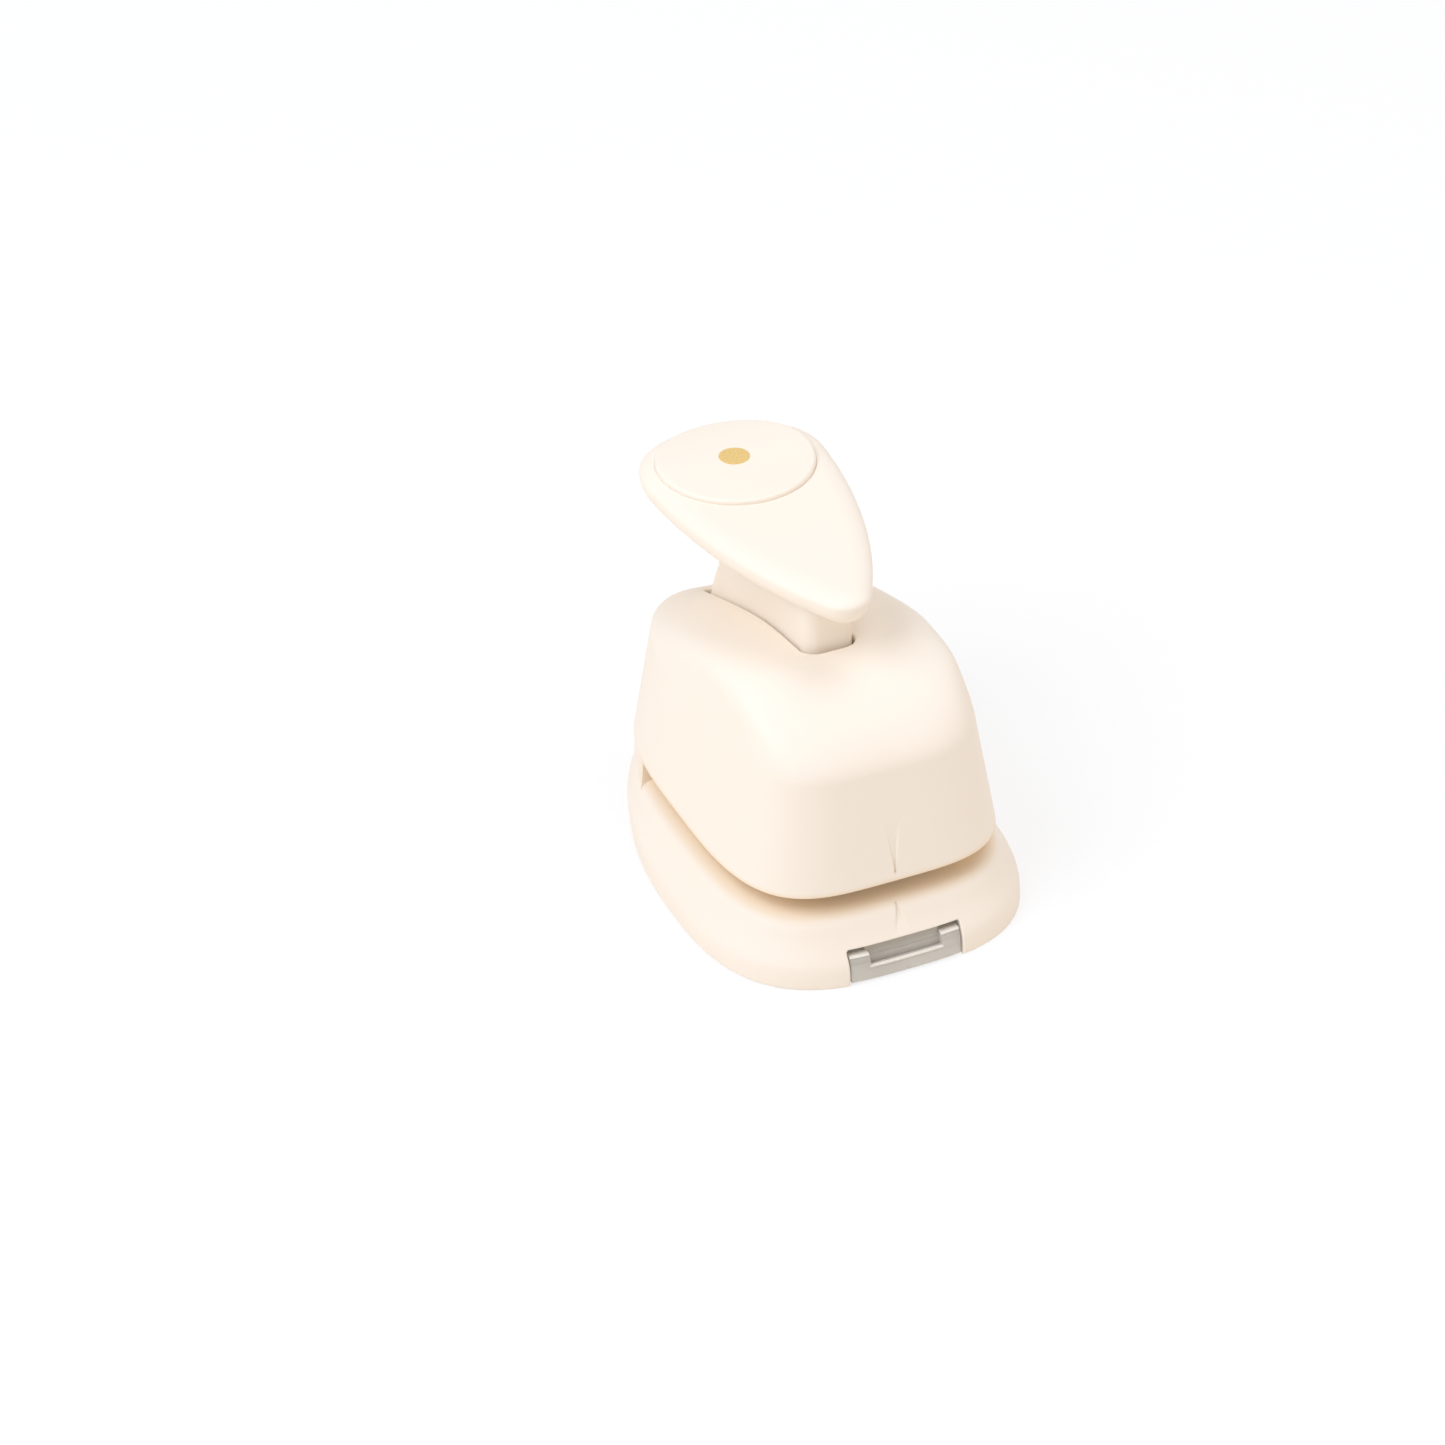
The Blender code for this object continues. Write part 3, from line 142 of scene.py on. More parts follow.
def white_floor_finish():
    """What is seen, mirrored or seen through is almost white. The light that it sends up is slightly warm."""
    material = bpy.data.materials.new("studio_floor")
    material.use_nodes = True
    tree = material.node_tree
    tree.nodes.clear()
    paint = add_node(tree, "ShaderNodeBsdfDiffuse", {"Color": FLOOR_PAINT})
    bounce = add_node(tree, "ShaderNodeBsdfDiffuse", {"Color": FLOOR_BOUNCE})
    glow = add_node(tree, "ShaderNodeEmission", {"Strength": 1.0})
    seen = add_node(tree, "ShaderNodeMixShader", {"Fac": FLOOR_SHADE_SHARE, 1: glow.outputs[0], 2: paint.outputs[0]})
    ray = add_node(tree, "ShaderNodeLightPath")
    mirrored = math_step(tree, "MAXIMUM", ray.outputs["Is Camera Ray"], ray.outputs["Is Glossy Ray"])
    direct = math_step(tree, "MAXIMUM", mirrored, ray.outputs["Is Transmission Ray"])
    choose = add_node(tree, "ShaderNodeMixShader", {"Fac": direct, 1: bounce.outputs[0], 2: seen.outputs[0]})
    add_node(tree, "ShaderNodeOutputMaterial", {"Surface": choose.outputs[0]})
    return material


floor_mesh = bpy.data.meshes.new("floor")
reach = FLOOR_SIZE / 2
floor_mesh.from_pydata([(-reach, -reach, 0.0), (reach, -reach, 0.0), (reach, reach, 0.0), (-reach, reach, 0.0)],
                       [], [(0, 1, 2, 3)])
floor_mesh.materials.append(white_floor_finish())
floor = link(bpy.data.objects.new("floor", floor_mesh))
floor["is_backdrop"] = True

# %% Soft lamps and the sky
WHITE = (1.0, 1.0, 1.0, 1.0)
TENT_COLOUR = (1.0, 0.985, 0.96, 1.0)
WORLD_LIGHT = 0.57
LAMP_TARGET = Vector((0.0, 0.0, 0.03))
# name, place, width in metres, watts and colour
LAMPS = (("key_lamp", (-0.81, -0.14, 0.99), 0.9, 7.7, (0.945, 0.995, 1.12)),
         ("fill_lamp", (0.78, -0.72, 0.42), 0.8, 0.95, (1.0, 0.66, 0.40)),
         ("top_lamp", (0.42, 0.05, 1.24), 0.9, 4.1, (0.95, 1.0, 1.12)))

for name, place, size, power, colour in LAMPS:
    lamp = bpy.data.lights.new(name, "AREA")
    lamp.shape = "DISK"
    lamp.size = size
    lamp.energy = power
    lamp.color = colour
    stand = link(bpy.data.objects.new(name, lamp))
    stand.location = place
    stand.rotation_euler = (LAMP_TARGET - Vector(place)).to_track_quat("-Z", "Y").to_euler()

world = bpy.data.worlds.new("light_tent")
world.use_nodes = True
bpy.context.scene.world = world
sky = world.node_tree
sky.nodes.clear()
tent = add_node(sky, "ShaderNodeBackground", {"Color": TENT_COLOUR, "Strength": WORLD_LIGHT})
page = add_node(sky, "ShaderNodeBackground", {"Color": WHITE, "Strength": 1.0})
sky_ray = add_node(sky, "ShaderNodeLightPath")
pick = add_node(sky, "ShaderNodeMixShader", {"Fac": sky_ray.outputs["Is Camera Ray"], 1: tent.outputs[0],
                                             2: page.outputs[0]})
add_node(sky, "ShaderNodeOutputWorld", {"Surface": pick.outputs[0]})
bpy.context.scene.view_settings.view_transform = "Standard"

# %% [markdown]
# ## Finishes
#
# The shell and the lever are ABS, moulded in tools with a fine spark texture, so they look like matt cream. The
# texture is a small bump, and the gloss changes a little with it. The metal inside is plain: cast zinc with a dull
# skin, bright steel with fine turning marks, bronze with open pores. All are made by one recipe: a noise mixes two
# colours, and it moves the gloss and the bump too.

# %% Recipe for a finish
RAMP_ENDS = (0.3, 0.7)
NOISE_ENDS = (0.25, 0.75)
EVEN = (1.0, 1.0, 1.0)


def object_noise(tree, scale, detail=3.0, roughness=0.55, stretch=EVEN):
    place = add_node(tree, "ShaderNodeTexCoord")
    shape = add_node(tree, "ShaderNodeMapping", {"Vector": place.outputs["Object"], "Scale": stretch})
    noise = add_node(tree, "ShaderNodeTexNoise", {"Vector": shape.outputs["Vector"], "Scale": scale, "Detail": detail,
                                                  "Roughness": roughness})
    return noise.outputs["Fac"]


def ramp(tree, source, colours):
    """Turn a noise value into a colour between two."""
    steps = add_node(tree, "ShaderNodeValToRGB", {"Fac": source})
    for stop, position, colour in zip(steps.color_ramp.elements, RAMP_ENDS, colours):
        stop.position = position
        stop.color = (*colour, 1.0)
    return steps.outputs["Color"]


def spread(tree, source, ends):
    """Turn a noise value into a number between two."""
    span = add_node(tree, "ShaderNodeMapRange", {"Value": source, "From Min": NOISE_ENDS[0], "From Max": NOISE_ENDS[1],
                                                 "To Min": ends[0], "To Max": ends[1]})
    return span.outputs["Result"]


def make_finish(name, colours, roughness, gloss, tone, bump=None, spark=None, constants=None):
    """Colour, gloss and bump follow the tone's noise. Gloss and bump follow the finer spark where there is one."""
    material = bpy.data.materials.new(name)
    material.use_nodes = True
    tree = material.node_tree
    shader = tree.nodes["Principled BSDF"]
    for label, value in {"Roughness": roughness, **(constants or {})}.items():
        shader.inputs[label].default_value = value
    noise = object_noise(tree, **tone)
    tree.links.new(ramp(tree, noise, colours), shader.inputs["Base Color"])
    if spark:
        noise = object_noise(tree, **spark)
    tree.links.new(spread(tree, noise, gloss), shader.inputs["Roughness"])
    if bump:
        relief = add_node(tree, "ShaderNodeBump", {"Height": noise, "Strength": bump[0], "Distance": bump[1]})
        tree.links.new(relief.outputs["Normal"], shader.inputs["Normal"])
    return material


# %% Cream ABS, for the housing, the lever and the pad
CREAM_TONE = {"scale": 26.0, "detail": 2.0}
CREAM_SPECULAR = 0.42
SPARK = {"scale": 3400.0, "detail": 2.0, "roughness": 0.6}
SPARK_DEPTH = 0.00003
SPARK_GLOSS = 0.06
# axis, place where the painted warm shade starts and place where it is full
THROAT_SHADE_LIMITS = (("Z", 0.0117, 0.0135), ("Z", 0.0189, 0.0178), ("Y", 0.0155, 0.0095))
THROAT_SHADE_TINT = (0.975, 0.895, 0.770, 1.0)


def cream_abs(name, deep, light, roughness, grain):
    """Matt moulded plastic: a slow change of tone, and a fine spark texture that also moves the gloss."""
    return make_finish(name, (deep, light), roughness, (roughness - SPARK_GLOSS, roughness + SPARK_GLOSS), CREAM_TONE,
                       (grain, SPARK_DEPTH), SPARK, {"Specular IOR Level": CREAM_SPECULAR})


def paint_throat_shade(material):
    """Painted warm shade: the colour is tinted warmer where the deck and the lip face each other, in the throat's
    shade.
    """
    tree = material.node_tree
    shader = tree.nodes["Principled BSDF"]
    place = add_node(tree, "ShaderNodeTexCoord")
    apart = add_node(tree, "ShaderNodeSeparateXYZ", {"Vector": place.outputs["Object"]})
    share = 1.0
    for axis, edge, full in THROAT_SHADE_LIMITS:
        limits = {"From Min": min(edge, full), "From Max": max(edge, full), "To Min": float(edge > full),
                  "To Max": float(full > edge)}
        span = add_node(tree, "ShaderNodeMapRange", {"Value": apart.outputs[axis], **limits},
                        interpolation_type="SMOOTHSTEP")
        share = math_step(tree, "MULTIPLY", share, span.outputs["Result"])
    colour = shader.inputs["Base Color"].links[0].from_socket
    # The base colour is multiplied by the painted warm shade's tint.
    painted_shade = add_node(tree, "ShaderNodeMix", {"Factor": share, "A": colour, "B": THROAT_SHADE_TINT}, data_type="RGBA",
                    blend_type="MULTIPLY")
    tree.links.new(painted_shade.outputs["Result"], shader.inputs["Base Color"])


housing_finish = cream_abs("cream_abs_shell", (0.933, 0.843, 0.734), (0.945, 0.858, 0.754), 0.52, 0.55)
# The housing's colour carries a painted warm shade in the throat.
paint_throat_shade(housing_finish)
lever_finish = cream_abs("cream_abs_lever", (0.942, 0.848, 0.732), (0.952, 0.862, 0.752), 0.50, 0.45)
pad_finish = cream_abs("cream_abs_pad", (0.942, 0.848, 0.732), (0.953, 0.864, 0.752), 0.40, 0.20)

# %% [markdown]
# Styrene is smoke-clear, with faint flow marks. A lighter, milky styrene on the tab's top edges is a painted highlight,
# where light falls on them. The gold is pale foil, pressed on hot: bright, with a fine broken grain.

# %% Styrene, acetal and gold print
styrene_finish = make_finish(
    "clear_styrene", colours=((0.68, 0.64, 0.575), (0.77, 0.73, 0.66)), roughness=0.09, gloss=(0.06, 0.16),
    tone={"scale": 60.0, "detail": 1.5, "stretch": (1.0, 0.35, 1.0)}, bump=(0.12, 0.0002),
    constants={"Alpha": 0.62, "IOR": 1.59})
# Painted highlight: a lighter, nearly opaque styrene for the tab's top edges, where light falls on them.
tab_highlight_finish = make_finish(
    "painted_highlight_styrene", colours=((0.86, 0.815, 0.735), (0.92, 0.875, 0.795)), roughness=0.42, gloss=(0.36, 0.50),
    tone={"scale": 1500.0, "detail": 2.0}, bump=(0.3, 0.00003), constants={"Alpha": 0.93})
acetal_finish = make_finish(
    "white_acetal", colours=((0.80, 0.79, 0.75), (0.87, 0.86, 0.83)), roughness=0.34, gloss=(0.28, 0.42),
    tone={"scale": 240.0})
gold_finish = make_finish(
    "gold_print", colours=((0.84, 0.57, 0.19), (0.95, 0.69, 0.28)), roughness=0.40, gloss=(0.30, 0.48),
    tone={"scale": 2600.0}, bump=(0.3, 0.00002), constants={"Metallic": 0.30})

# %% Metals
METAL_DETAIL = 4.0
METAL_DEPTH = 0.00005


def worked_metal(name, dark, light, roughness, scale, stretch=EVEN, grain=0.25):
    """Bare metal. A stretch draws its marks together into fine lines."""
    return make_finish(name, (dark, light), roughness, (roughness - 0.08, roughness + 0.10),
                       {"scale": scale, "detail": METAL_DETAIL, "stretch": stretch}, (grain, METAL_DEPTH),
                       constants={"Metallic": 1.0})


zinc_finish = worked_metal("die_cast_zinc", (0.46, 0.47, 0.48), (0.58, 0.59, 0.60), 0.42, 900.0, grain=0.5)
steel_finish = worked_metal("bright_steel", (0.58, 0.58, 0.57), (0.72, 0.72, 0.70), 0.24, 700.0, (1.0, 1.0, 6.0))
ground_finish = worked_metal("ground_steel", (0.52, 0.52, 0.51), (0.70, 0.70, 0.69), 0.28, 500.0, (12.0, 1.0, 1.0))
bronze_finish = worked_metal("sintered_bronze", (0.42, 0.28, 0.13), (0.58, 0.42, 0.22), 0.44, 2200.0, grain=0.6)

# %% [markdown]
# ## Shape of the housing
#
# The real shell is one moulding. Seen from above, each level of it is an egg: a superellipse in front of its widest
# place and another behind it. So one rule gives the outline at any height, and the same rule, asked the other way
# round, gives the height of the crown over any place. Both are used below.

# %% Sizes of the housing
FRONT_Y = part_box("waste_tray")[0].y - 0.0006
HALF_WIDTH = 0.0340
BODY_LENGTH = 0.0920
BODY_HEIGHT = 0.0537
WALL = 0.0022
RIM_HEIGHT = 0.0046
DECK_HEIGHT = 0.0135
DECK_THICKNESS = 0.0020
LIP_HEIGHT = 0.0179
CEILING_TOP = LIP_HEIGHT + WALL
CROWN_FOOT = 0.0375
THROAT_DEPTH = 0.0610
STOP_WALL = 0.0020
FLOOR_THICKNESS = 0.0020
LIP_INSET = {"side": 0.0047, "front": 0.0063, "rear": 0.0059}
LEAN = {"side": 0.0074, "front": 0.0062, "rear": 0.0032}
CROWN_DEPTH = {"side": 0.0073, "front": 0.0126, "rear": 0.0142}
CROWN_POWERS = {"side": (4.8, 4.8), "front": (1.9, 1.57), "rear": (1.20, 1.23)}
# at the rim, the lip and the crown
WIDEST = (0.0381, 0.0490, 0.0335)
FRONT_POWERS = (2.97, 3.86, 3.68)
# at the foot and the crown
REAR_POWERS = (2.03, 3.79)
FLARE_POWER = 2.2
RIM_SOFTNESS = 0.12

# %% Outline of the housing at a height
FRONT, REAR = -math.pi / 2, math.pi / 2


def back(distance):
    return FRONT_Y + distance


def mix(start, end, share):
    return start + (end - start) * share


def crown_bend(height, where, top):
    """Share of the way in to the crown that this wall has bent at this height."""
    share = np.clip((height - (top - CROWN_DEPTH[where])) / CROWN_DEPTH[where], 0.0, 1.0)
    start_power, end_power = CROWN_POWERS[where]
    return 1.0 - (1.0 - share ** start_power) ** (1.0 / end_power)


def flare_at(height, softness):
    """Share of the way from the rim's outline in to the lip's. Softness rounds the start of the flare."""
    share = (height - RIM_HEIGHT) / (LIP_HEIGHT - RIM_HEIGHT)
    foot = -RIM_HEIGHT / (LIP_HEIGHT - RIM_HEIGHT)
    share, foot, end = [(s + np.sqrt(s ** 2 + softness ** 2)) / 2 for s in (share, foot, 1.0)]
    return 1.0 - (1.0 - np.clip((share - foot) / (end - foot), 0.0, 1.0)) ** FLARE_POWER


def egg(height, inset=0.0, top=BODY_HEIGHT, softness=0.0):
    """Half width, half lengths in front and behind, widest place and powers of the outline at each height."""
    flare = flare_at(height, softness)
    rise = np.clip((height - LIP_HEIGHT) / (top - LIP_HEIGHT), 0.0, 1.0)
    widest, front_power = [mix(mix(rim, lip, flare), crown, rise) for rim, lip, crown in (WIDEST, FRONT_POWERS)]
    rear_power = mix(*REAR_POWERS, height / top)
    half = HALF_WIDTH - LIP_INSET["side"] * flare - LEAN["side"] * rise - inset
    front = LIP_INSET["front"] * flare + LEAN["front"] * rise + inset
    rear = BODY_LENGTH - LIP_INSET["rear"] * flare - LEAN["rear"] * rise - inset
    half = half * (1.0 - crown_bend(height, "side", top))
    front = mix(front, widest, crown_bend(height, "front", top))
    rear = mix(rear, widest, crown_bend(height, "rear", top))
    return half, widest - front, rear - widest, widest, front_power, rear_power


def on_egg(turn, height, inset=0.0, top=BODY_HEIGHT, softness=0.0):
    """Points of the skin. A turn of -90 degrees is the front, 0 the right side and 90 degrees the rear."""
    turn, height = np.broadcast_arrays(np.asarray(turn, float), np.asarray(height, float))
    half, ahead, behind, widest, front_power, rear_power = egg(height, inset, top, softness)
    across, along = np.cos(turn), np.sin(turn)
    power = np.where(along < 0, front_power, rear_power)
    reach = (np.abs(across) ** power + np.abs(along) ** power) ** (-1.0 / power)
    x = half * reach * across
    y = back(widest + np.where(along < 0, ahead, behind) * reach * along)
    return np.stack([x, y, height], -1)


print("lip in front at", np.round(on_egg(FRONT, LIP_HEIGHT) * 1000, 2), "mm")

# %% Height of the crown over a place
CROWN_SEARCH_START = CROWN_FOOT - 0.001
CROWN_HALVINGS = 34
NEVER_ZERO = 1e-9


def halve(shape, low, high, times, below):
    """Close in by halving on the values where a test stops being true, for many places at once."""
    low, high = np.full(shape, low), np.full(shape, high)
    for _ in range(times):
        middle = (low + high) / 2
        short = below(middle)
        low = np.where(short, middle, low)
        high = np.where(short, high, middle)
    return (low + high) / 2


def crown_height(x, y):
    """Height at which the skin passes over a place."""
    def inside(height):
        half, ahead, behind, widest, front_power, rear_power = egg(height)
        along = y - back(widest)
        power = np.where(along < 0, front_power, rear_power)
        end = np.where(along < 0, ahead, behind)
        return ((np.abs(x) / np.maximum(half, NEVER_ZERO)) ** power
                + (np.abs(along) / np.maximum(end, NEVER_ZERO)) ** power) < 1
    return halve(x.shape, CROWN_SEARCH_START, BODY_HEIGHT, CROWN_HALVINGS, inside)


# %% [markdown]
# ## Grid of the housing
#
# A boolean leaves ragged triangles along a visible edge. So the outside is a grid of four-sided faces whose columns
# meet the end of the throat exactly, and whose rows meet the lip and the deck. Above the walls the columns run in to
# the edge of the lever's slot, which gives that edge its own clean rounding.

# %% Columns: where each one stands
THROAT_END = back(THROAT_DEPTH)
MARK_SHARE = 0.05
MARK_COLUMNS = 30
FRONT_COLUMNS = 84
REAR_COLUMNS = 44
TURN_HALVINGS = 40

fine_front = np.linspace(0.0, MARK_SHARE, MARK_COLUMNS)
front_share = np.concatenate([fine_front, np.linspace(MARK_SHARE, 1.0, FRONT_COLUMNS)[1:]])
rear_share = np.linspace(0.0, 1.0, REAR_COLUMNS)


def outside(turn, height, inset):
    return on_egg(turn, height, inset, BODY_HEIGHT, RIM_SOFTNESS)


def throat_turn(height, inset):
    """Turn of the place where the outline reaches the end of the throat."""
    return halve(height.shape, 0.0, REAR, TURN_HALVINGS,
                 lambda turn: outside(turn, height, inset)[..., 1] < THROAT_END)


def columns(heights, insets=0.0, rear=False):
    """Rows of points on the right half, from the middle of the front to the throat's end, or from there to the rear."""
    insets = np.broadcast_to(insets, heights.shape)
    stop = throat_turn(heights, insets)[:, None]
    turn = stop + rear_share * (REAR - stop) if rear else FRONT + front_share * (stop - FRONT)
    return outside(turn, heights[:, None], insets[:, None])


print("columns:", 2 * (len(front_share) + len(rear_share) - 2))

# %% [markdown]
# The slot's outline is met by the shortest way from each column's top, because shortest ways to a rounded rectangle
# never cross.

# %% Slot of the lever, and the dip beside it
SLOT_HALF = 0.0057
SLOT_FRONT = back(0.0350)
SLOT_REAR = back(0.0828)
SLOT_CORNER = 0.0034
SLOT_REAR_CORNER = 0.0010
SLOT_BOTTOM = 0.0290
DIP_DEPTH = 0.0030
DIP_HALF = 0.0090
DIP_START = 0.0500
DIP_FULL = 0.0800
DIP_RISE = 0.0040


def ease(share):
    share = np.clip(share, 0.0, 1.0)
    return share * share * (3.0 - 2.0 * share)


def slot_dip(x, y, height):
    """The crown sinks a little beside the rear of the slot, where the lever's tail goes down."""
    along = ease((y - back(DIP_START)) / (DIP_FULL - DIP_START))
    above = ease((height - CROWN_FOOT) / DIP_RISE)
    return DIP_DEPTH * along * above * np.exp(-(x / DIP_HALF) ** 2)


def slot_point(place):
    """Nearest point of the slot's outline."""
    corner = np.where(place[:, 1] < (SLOT_FRONT + SLOT_REAR) / 2, SLOT_CORNER, SLOT_REAR_CORNER)
    core = np.stack([np.clip(place[:, 0], corner - SLOT_HALF, SLOT_HALF - corner),
                     np.clip(place[:, 1], SLOT_FRONT + corner, SLOT_REAR - corner)], -1)
    way = place[:, :2] - core
    return core + way / np.linalg.norm(way, axis=1)[:, None] * corner[:, None]


# %% Rows from the walls in to the slot
SLOT_EDGE = 0.00055
CROWN_ROWS = 46
EDGE_ROWS = 8
EDGE_REACH = 2.2 * SLOT_EDGE
SAMPLES = 700
SAMPLE_POWER = 1.5


def crown_rows(ring):
    """Rows from a ring of points at the foot of the crown in to the slot's edge, evenly spaced along the surface."""
    goal = slot_point(ring)
    share = np.linspace(0.0, 1.0, SAMPLES) ** SAMPLE_POWER
    plan = ring[:, None, :2] + (goal - ring[:, :2])[:, None, :] * share[None, :, None]
    height = crown_height(plan[..., 0], plan[..., 1])
    height = height - slot_dip(plan[..., 0], plan[..., 1], height)
    distance = np.linalg.norm(goal - ring[:, :2], axis=1)[:, None] * (1.0 - share)[None, :]
    dip = np.clip(SLOT_EDGE - distance, 0.0, SLOT_EDGE)
    height = height - (SLOT_EDGE - np.sqrt(np.maximum(SLOT_EDGE ** 2 - dip ** 2, 0.0)))
    line = np.concatenate([plan, height[..., None]], -1)
    line[:, 0] = ring
    step = np.linalg.norm(np.diff(line, axis=1), axis=2)
    length = np.concatenate([np.zeros((len(ring), 1)), np.cumsum(step, axis=1)], 1)
    edge_start = length[:, -1:] - EDGE_REACH
    wanted = np.concatenate([np.linspace(0.0, 1.0, CROWN_ROWS)[None, :] * edge_start,
                             edge_start + np.linspace(0.0, 1.0, EDGE_ROWS)[None, 1:] * EDGE_REACH], 1)
    out = np.empty((wanted.shape[1], len(ring), 3))
    for column in range(len(ring)):
        for axis in range(3):
            out[:, column, axis] = np.interp(wanted[column], length[column], line[column, :, axis])
    return out


# %% Rows of the walls, the apron and the shoulder of the deck
SHOULDER_DROP = 0.0032
SHOULDER_INSET = 0.0042
SHOULDER_POWER = 2.5
FOOT_EDGE = 0.0004
LIP_STEP = 0.0012
FOOT_ROWS, RIM_ROWS, APRON_ROWS, SHOULDER_ROWS, THROAT_ROWS, WALL_ROWS = 4, 6, 22, 13, 6, 40

foot_angles = np.linspace(0.0, math.pi / 2, FOOT_ROWS)
foot_heights = FOOT_EDGE * (1.0 - np.cos(foot_angles))
foot_insets = FOOT_EDGE * (1.0 - np.sin(foot_angles))
apron_heights = np.concatenate([foot_heights, np.linspace(FOOT_EDGE, RIM_HEIGHT, RIM_ROWS)[1:],
                                np.linspace(RIM_HEIGHT, DECK_HEIGHT - SHOULDER_DROP, APRON_ROWS)[1:]])
apron_insets = np.concatenate([foot_insets, np.zeros(len(apron_heights) - len(foot_insets))])
bend = np.linspace(0.0, math.pi / 2, SHOULDER_ROWS)
shoulder_heights = DECK_HEIGHT - SHOULDER_DROP * (1.0 - np.sin(bend) ** (2.0 / SHOULDER_POWER))
shoulder_insets = SHOULDER_INSET * (1.0 - np.cos(bend) ** (2.0 / SHOULDER_POWER))
throat_heights = np.linspace(DECK_HEIGHT, LIP_HEIGHT, THROAT_ROWS)
wall_heights = np.concatenate([[LIP_HEIGHT], np.linspace(LIP_HEIGHT + LIP_STEP, CROWN_FOOT, WALL_ROWS)])
print("apron rows:", len(apron_heights), "wall rows:", len(wall_heights))

# %% [markdown]
# Two small pressed-in marks show the middle of the punch: a long arrow head that points down to the lip, and a short
# one on the apron that points up to it. They are made by moving the grid's points inwards, so they need close columns
# at the middle of the front.

# %% Centre marks
MARK_DEPTH = 0.00065
MARK_FADE = 1.2
MARK_SIDES = 3.0
MARK_LEAST_WIDTH = 0.14
UPPER_MARK = {"tip": 0.0194, "end": 0.0312, "half_width": 0.0019, "inwards": (1.0, 0.0)}
LOWER_MARK = {"tip": 0.0127, "end": 0.0076, "half_width": 0.0018, "inwards": (0.72, -0.69)}


def press_mark(points, tip, end, half_width, inwards):
    """Press an arrow head in: deep and narrow at its tip, wide and shallow at its end."""
    along = (points[..., 2] - tip) / (end - tip)
    inside = (along > 0) & (along < 1) & (points[..., 1] < 0)
    along = np.clip(along, 0.0, 1.0)
    across = np.abs(points[..., 0]) / (half_width * np.maximum(along, MARK_LEAST_WIDTH))
    depth = MARK_DEPTH * (1.0 - along) ** MARK_FADE * np.clip((1.0 - across) * MARK_SIDES, 0.0, 1.0) * inside
    moved = points.copy()
    moved[..., 1] += depth * inwards[0]
    moved[..., 2] += depth * inwards[1]
    return moved


# %% Outside of the housing as one closed body
SLOT_ROWS = 4
CLOSE = 1e-7
WELD = 2e-6


def add_grid(builder, rows):
    """Four-sided faces between rows of points, on both halves."""
    for side in (1.0, -1.0):
        placed = [[builder.verts.new((side * x, y, z)) for x, y, z in row] for row in rows]
        for lower, upper in zip(placed, placed[1:]):
            for i in range(len(lower) - 1):
                builder.faces.new((lower[i], lower[i + 1], upper[i + 1], upper[i]))


def add_plate(builder, half):
    """One flat face from the right half of its outline. Points in the middle aren't doubled."""
    right = [tuple(point) for point in half]
    left = [(-x, y, z) for x, y, z in reversed(right) if x > CLOSE]
    builder.faces.new([builder.verts.new(point) for point in right + left])


shoulder = columns(shoulder_heights, shoulder_insets)
front_apron = press_mark(np.concatenate([columns(apron_heights, apron_insets), shoulder[1:]]), **LOWER_MARK)
front_wall = press_mark(columns(wall_heights), **UPPER_MARK)
rear_apron = columns(apron_heights, apron_insets, rear=True)
rear_band = columns(np.concatenate([shoulder_heights, throat_heights[1:]]), rear=True)
rear_wall = columns(wall_heights, rear=True)
crown = crown_rows(np.concatenate([front_wall[-1], rear_wall[-1][1:]]))
slot_drop = np.linspace(0.0, 1.0, SLOT_ROWS)[:, None]
slot_rows = np.repeat(crown[-1][None], len(slot_drop), 0)
slot_rows[..., 2] = mix(crown[-1][None, :, 2], SLOT_BOTTOM, slot_drop)
throat_end_line = [*shoulder[::-1, -1], *rear_band[1:, 0]]

shell = bmesh.new()
for rows in (front_apron, np.concatenate([rear_apron, rear_band[1:]]), front_wall, rear_wall, crown, slot_rows):
    add_grid(shell, rows)
foot_row = np.concatenate([front_apron[0], rear_apron[0][1:]])
for half in (foot_row, slot_rows[-1], front_apron[-1], front_wall[0], throat_end_line):
    add_plate(shell, half)
bmesh.ops.remove_doubles(shell, verts=shell.verts[:], dist=WELD)
bmesh.ops.recalc_face_normals(shell, faces=shell.faces[:])
open_edges = [edge for edge in shell.edges if len(edge.link_faces) != 2]
print("housing outside:", len(shell.faces), "faces,", len(open_edges), "open edges")

# %% [markdown]
# No moulded edge is sharp. The lip and the two upright ends of the throat are rounded while they are still clean loops
# of the grid. They are found by place and by the angle between their faces.

# %% Round the lip and the ends of the throat
LIP_ROUND = 0.0005
THROAT_END_START = DECK_HEIGHT - 0.0012
NEAR = 1e-6
ROUNDED_ANGLE = math.radians(40.0)


def lies_at(edge, axis, level):
    return all(abs(corner.co[axis] - level) < NEAR for corner in edge.verts)


def on_lip(edge):
    return lies_at(edge, 2, LIP_HEIGHT) and not lies_at(edge, 1, THROAT_END)


def on_throat_end(edge):
    return lies_at(edge, 1, THROAT_END) and all(THROAT_END_START < corner.co.z < LIP_HEIGHT + NEAR
                                                for corner in edge.verts)


rounded = [edge for edge in shell.edges if (on_lip(edge) or on_throat_end(edge)) and edge.is_convex
           and edge.calc_face_angle(0.0) > ROUNDED_ANGLE]
bmesh.ops.bevel(shell, geom=rounded, offset=LIP_ROUND, offset_type="OFFSET", segments=3, profile=0.5,
                affect="EDGES", clamp_overlap=True)
print("rounded edges:", len(rounded))

# %% [markdown]
# ## Building blocks
#
# The other parts need only a few shapes: a loft through rings, a prism from a flat outline, a turned profile. Booleans
# carve and join them. Each result becomes a plain mesh at once, so nothing is left live.

# %% Building blocks
ROUND = 96
CORNER_STEPS = 12
SHARP_ANGLE = math.radians(35.0)
ORIGIN = (0.0, 0.0, 0.0)


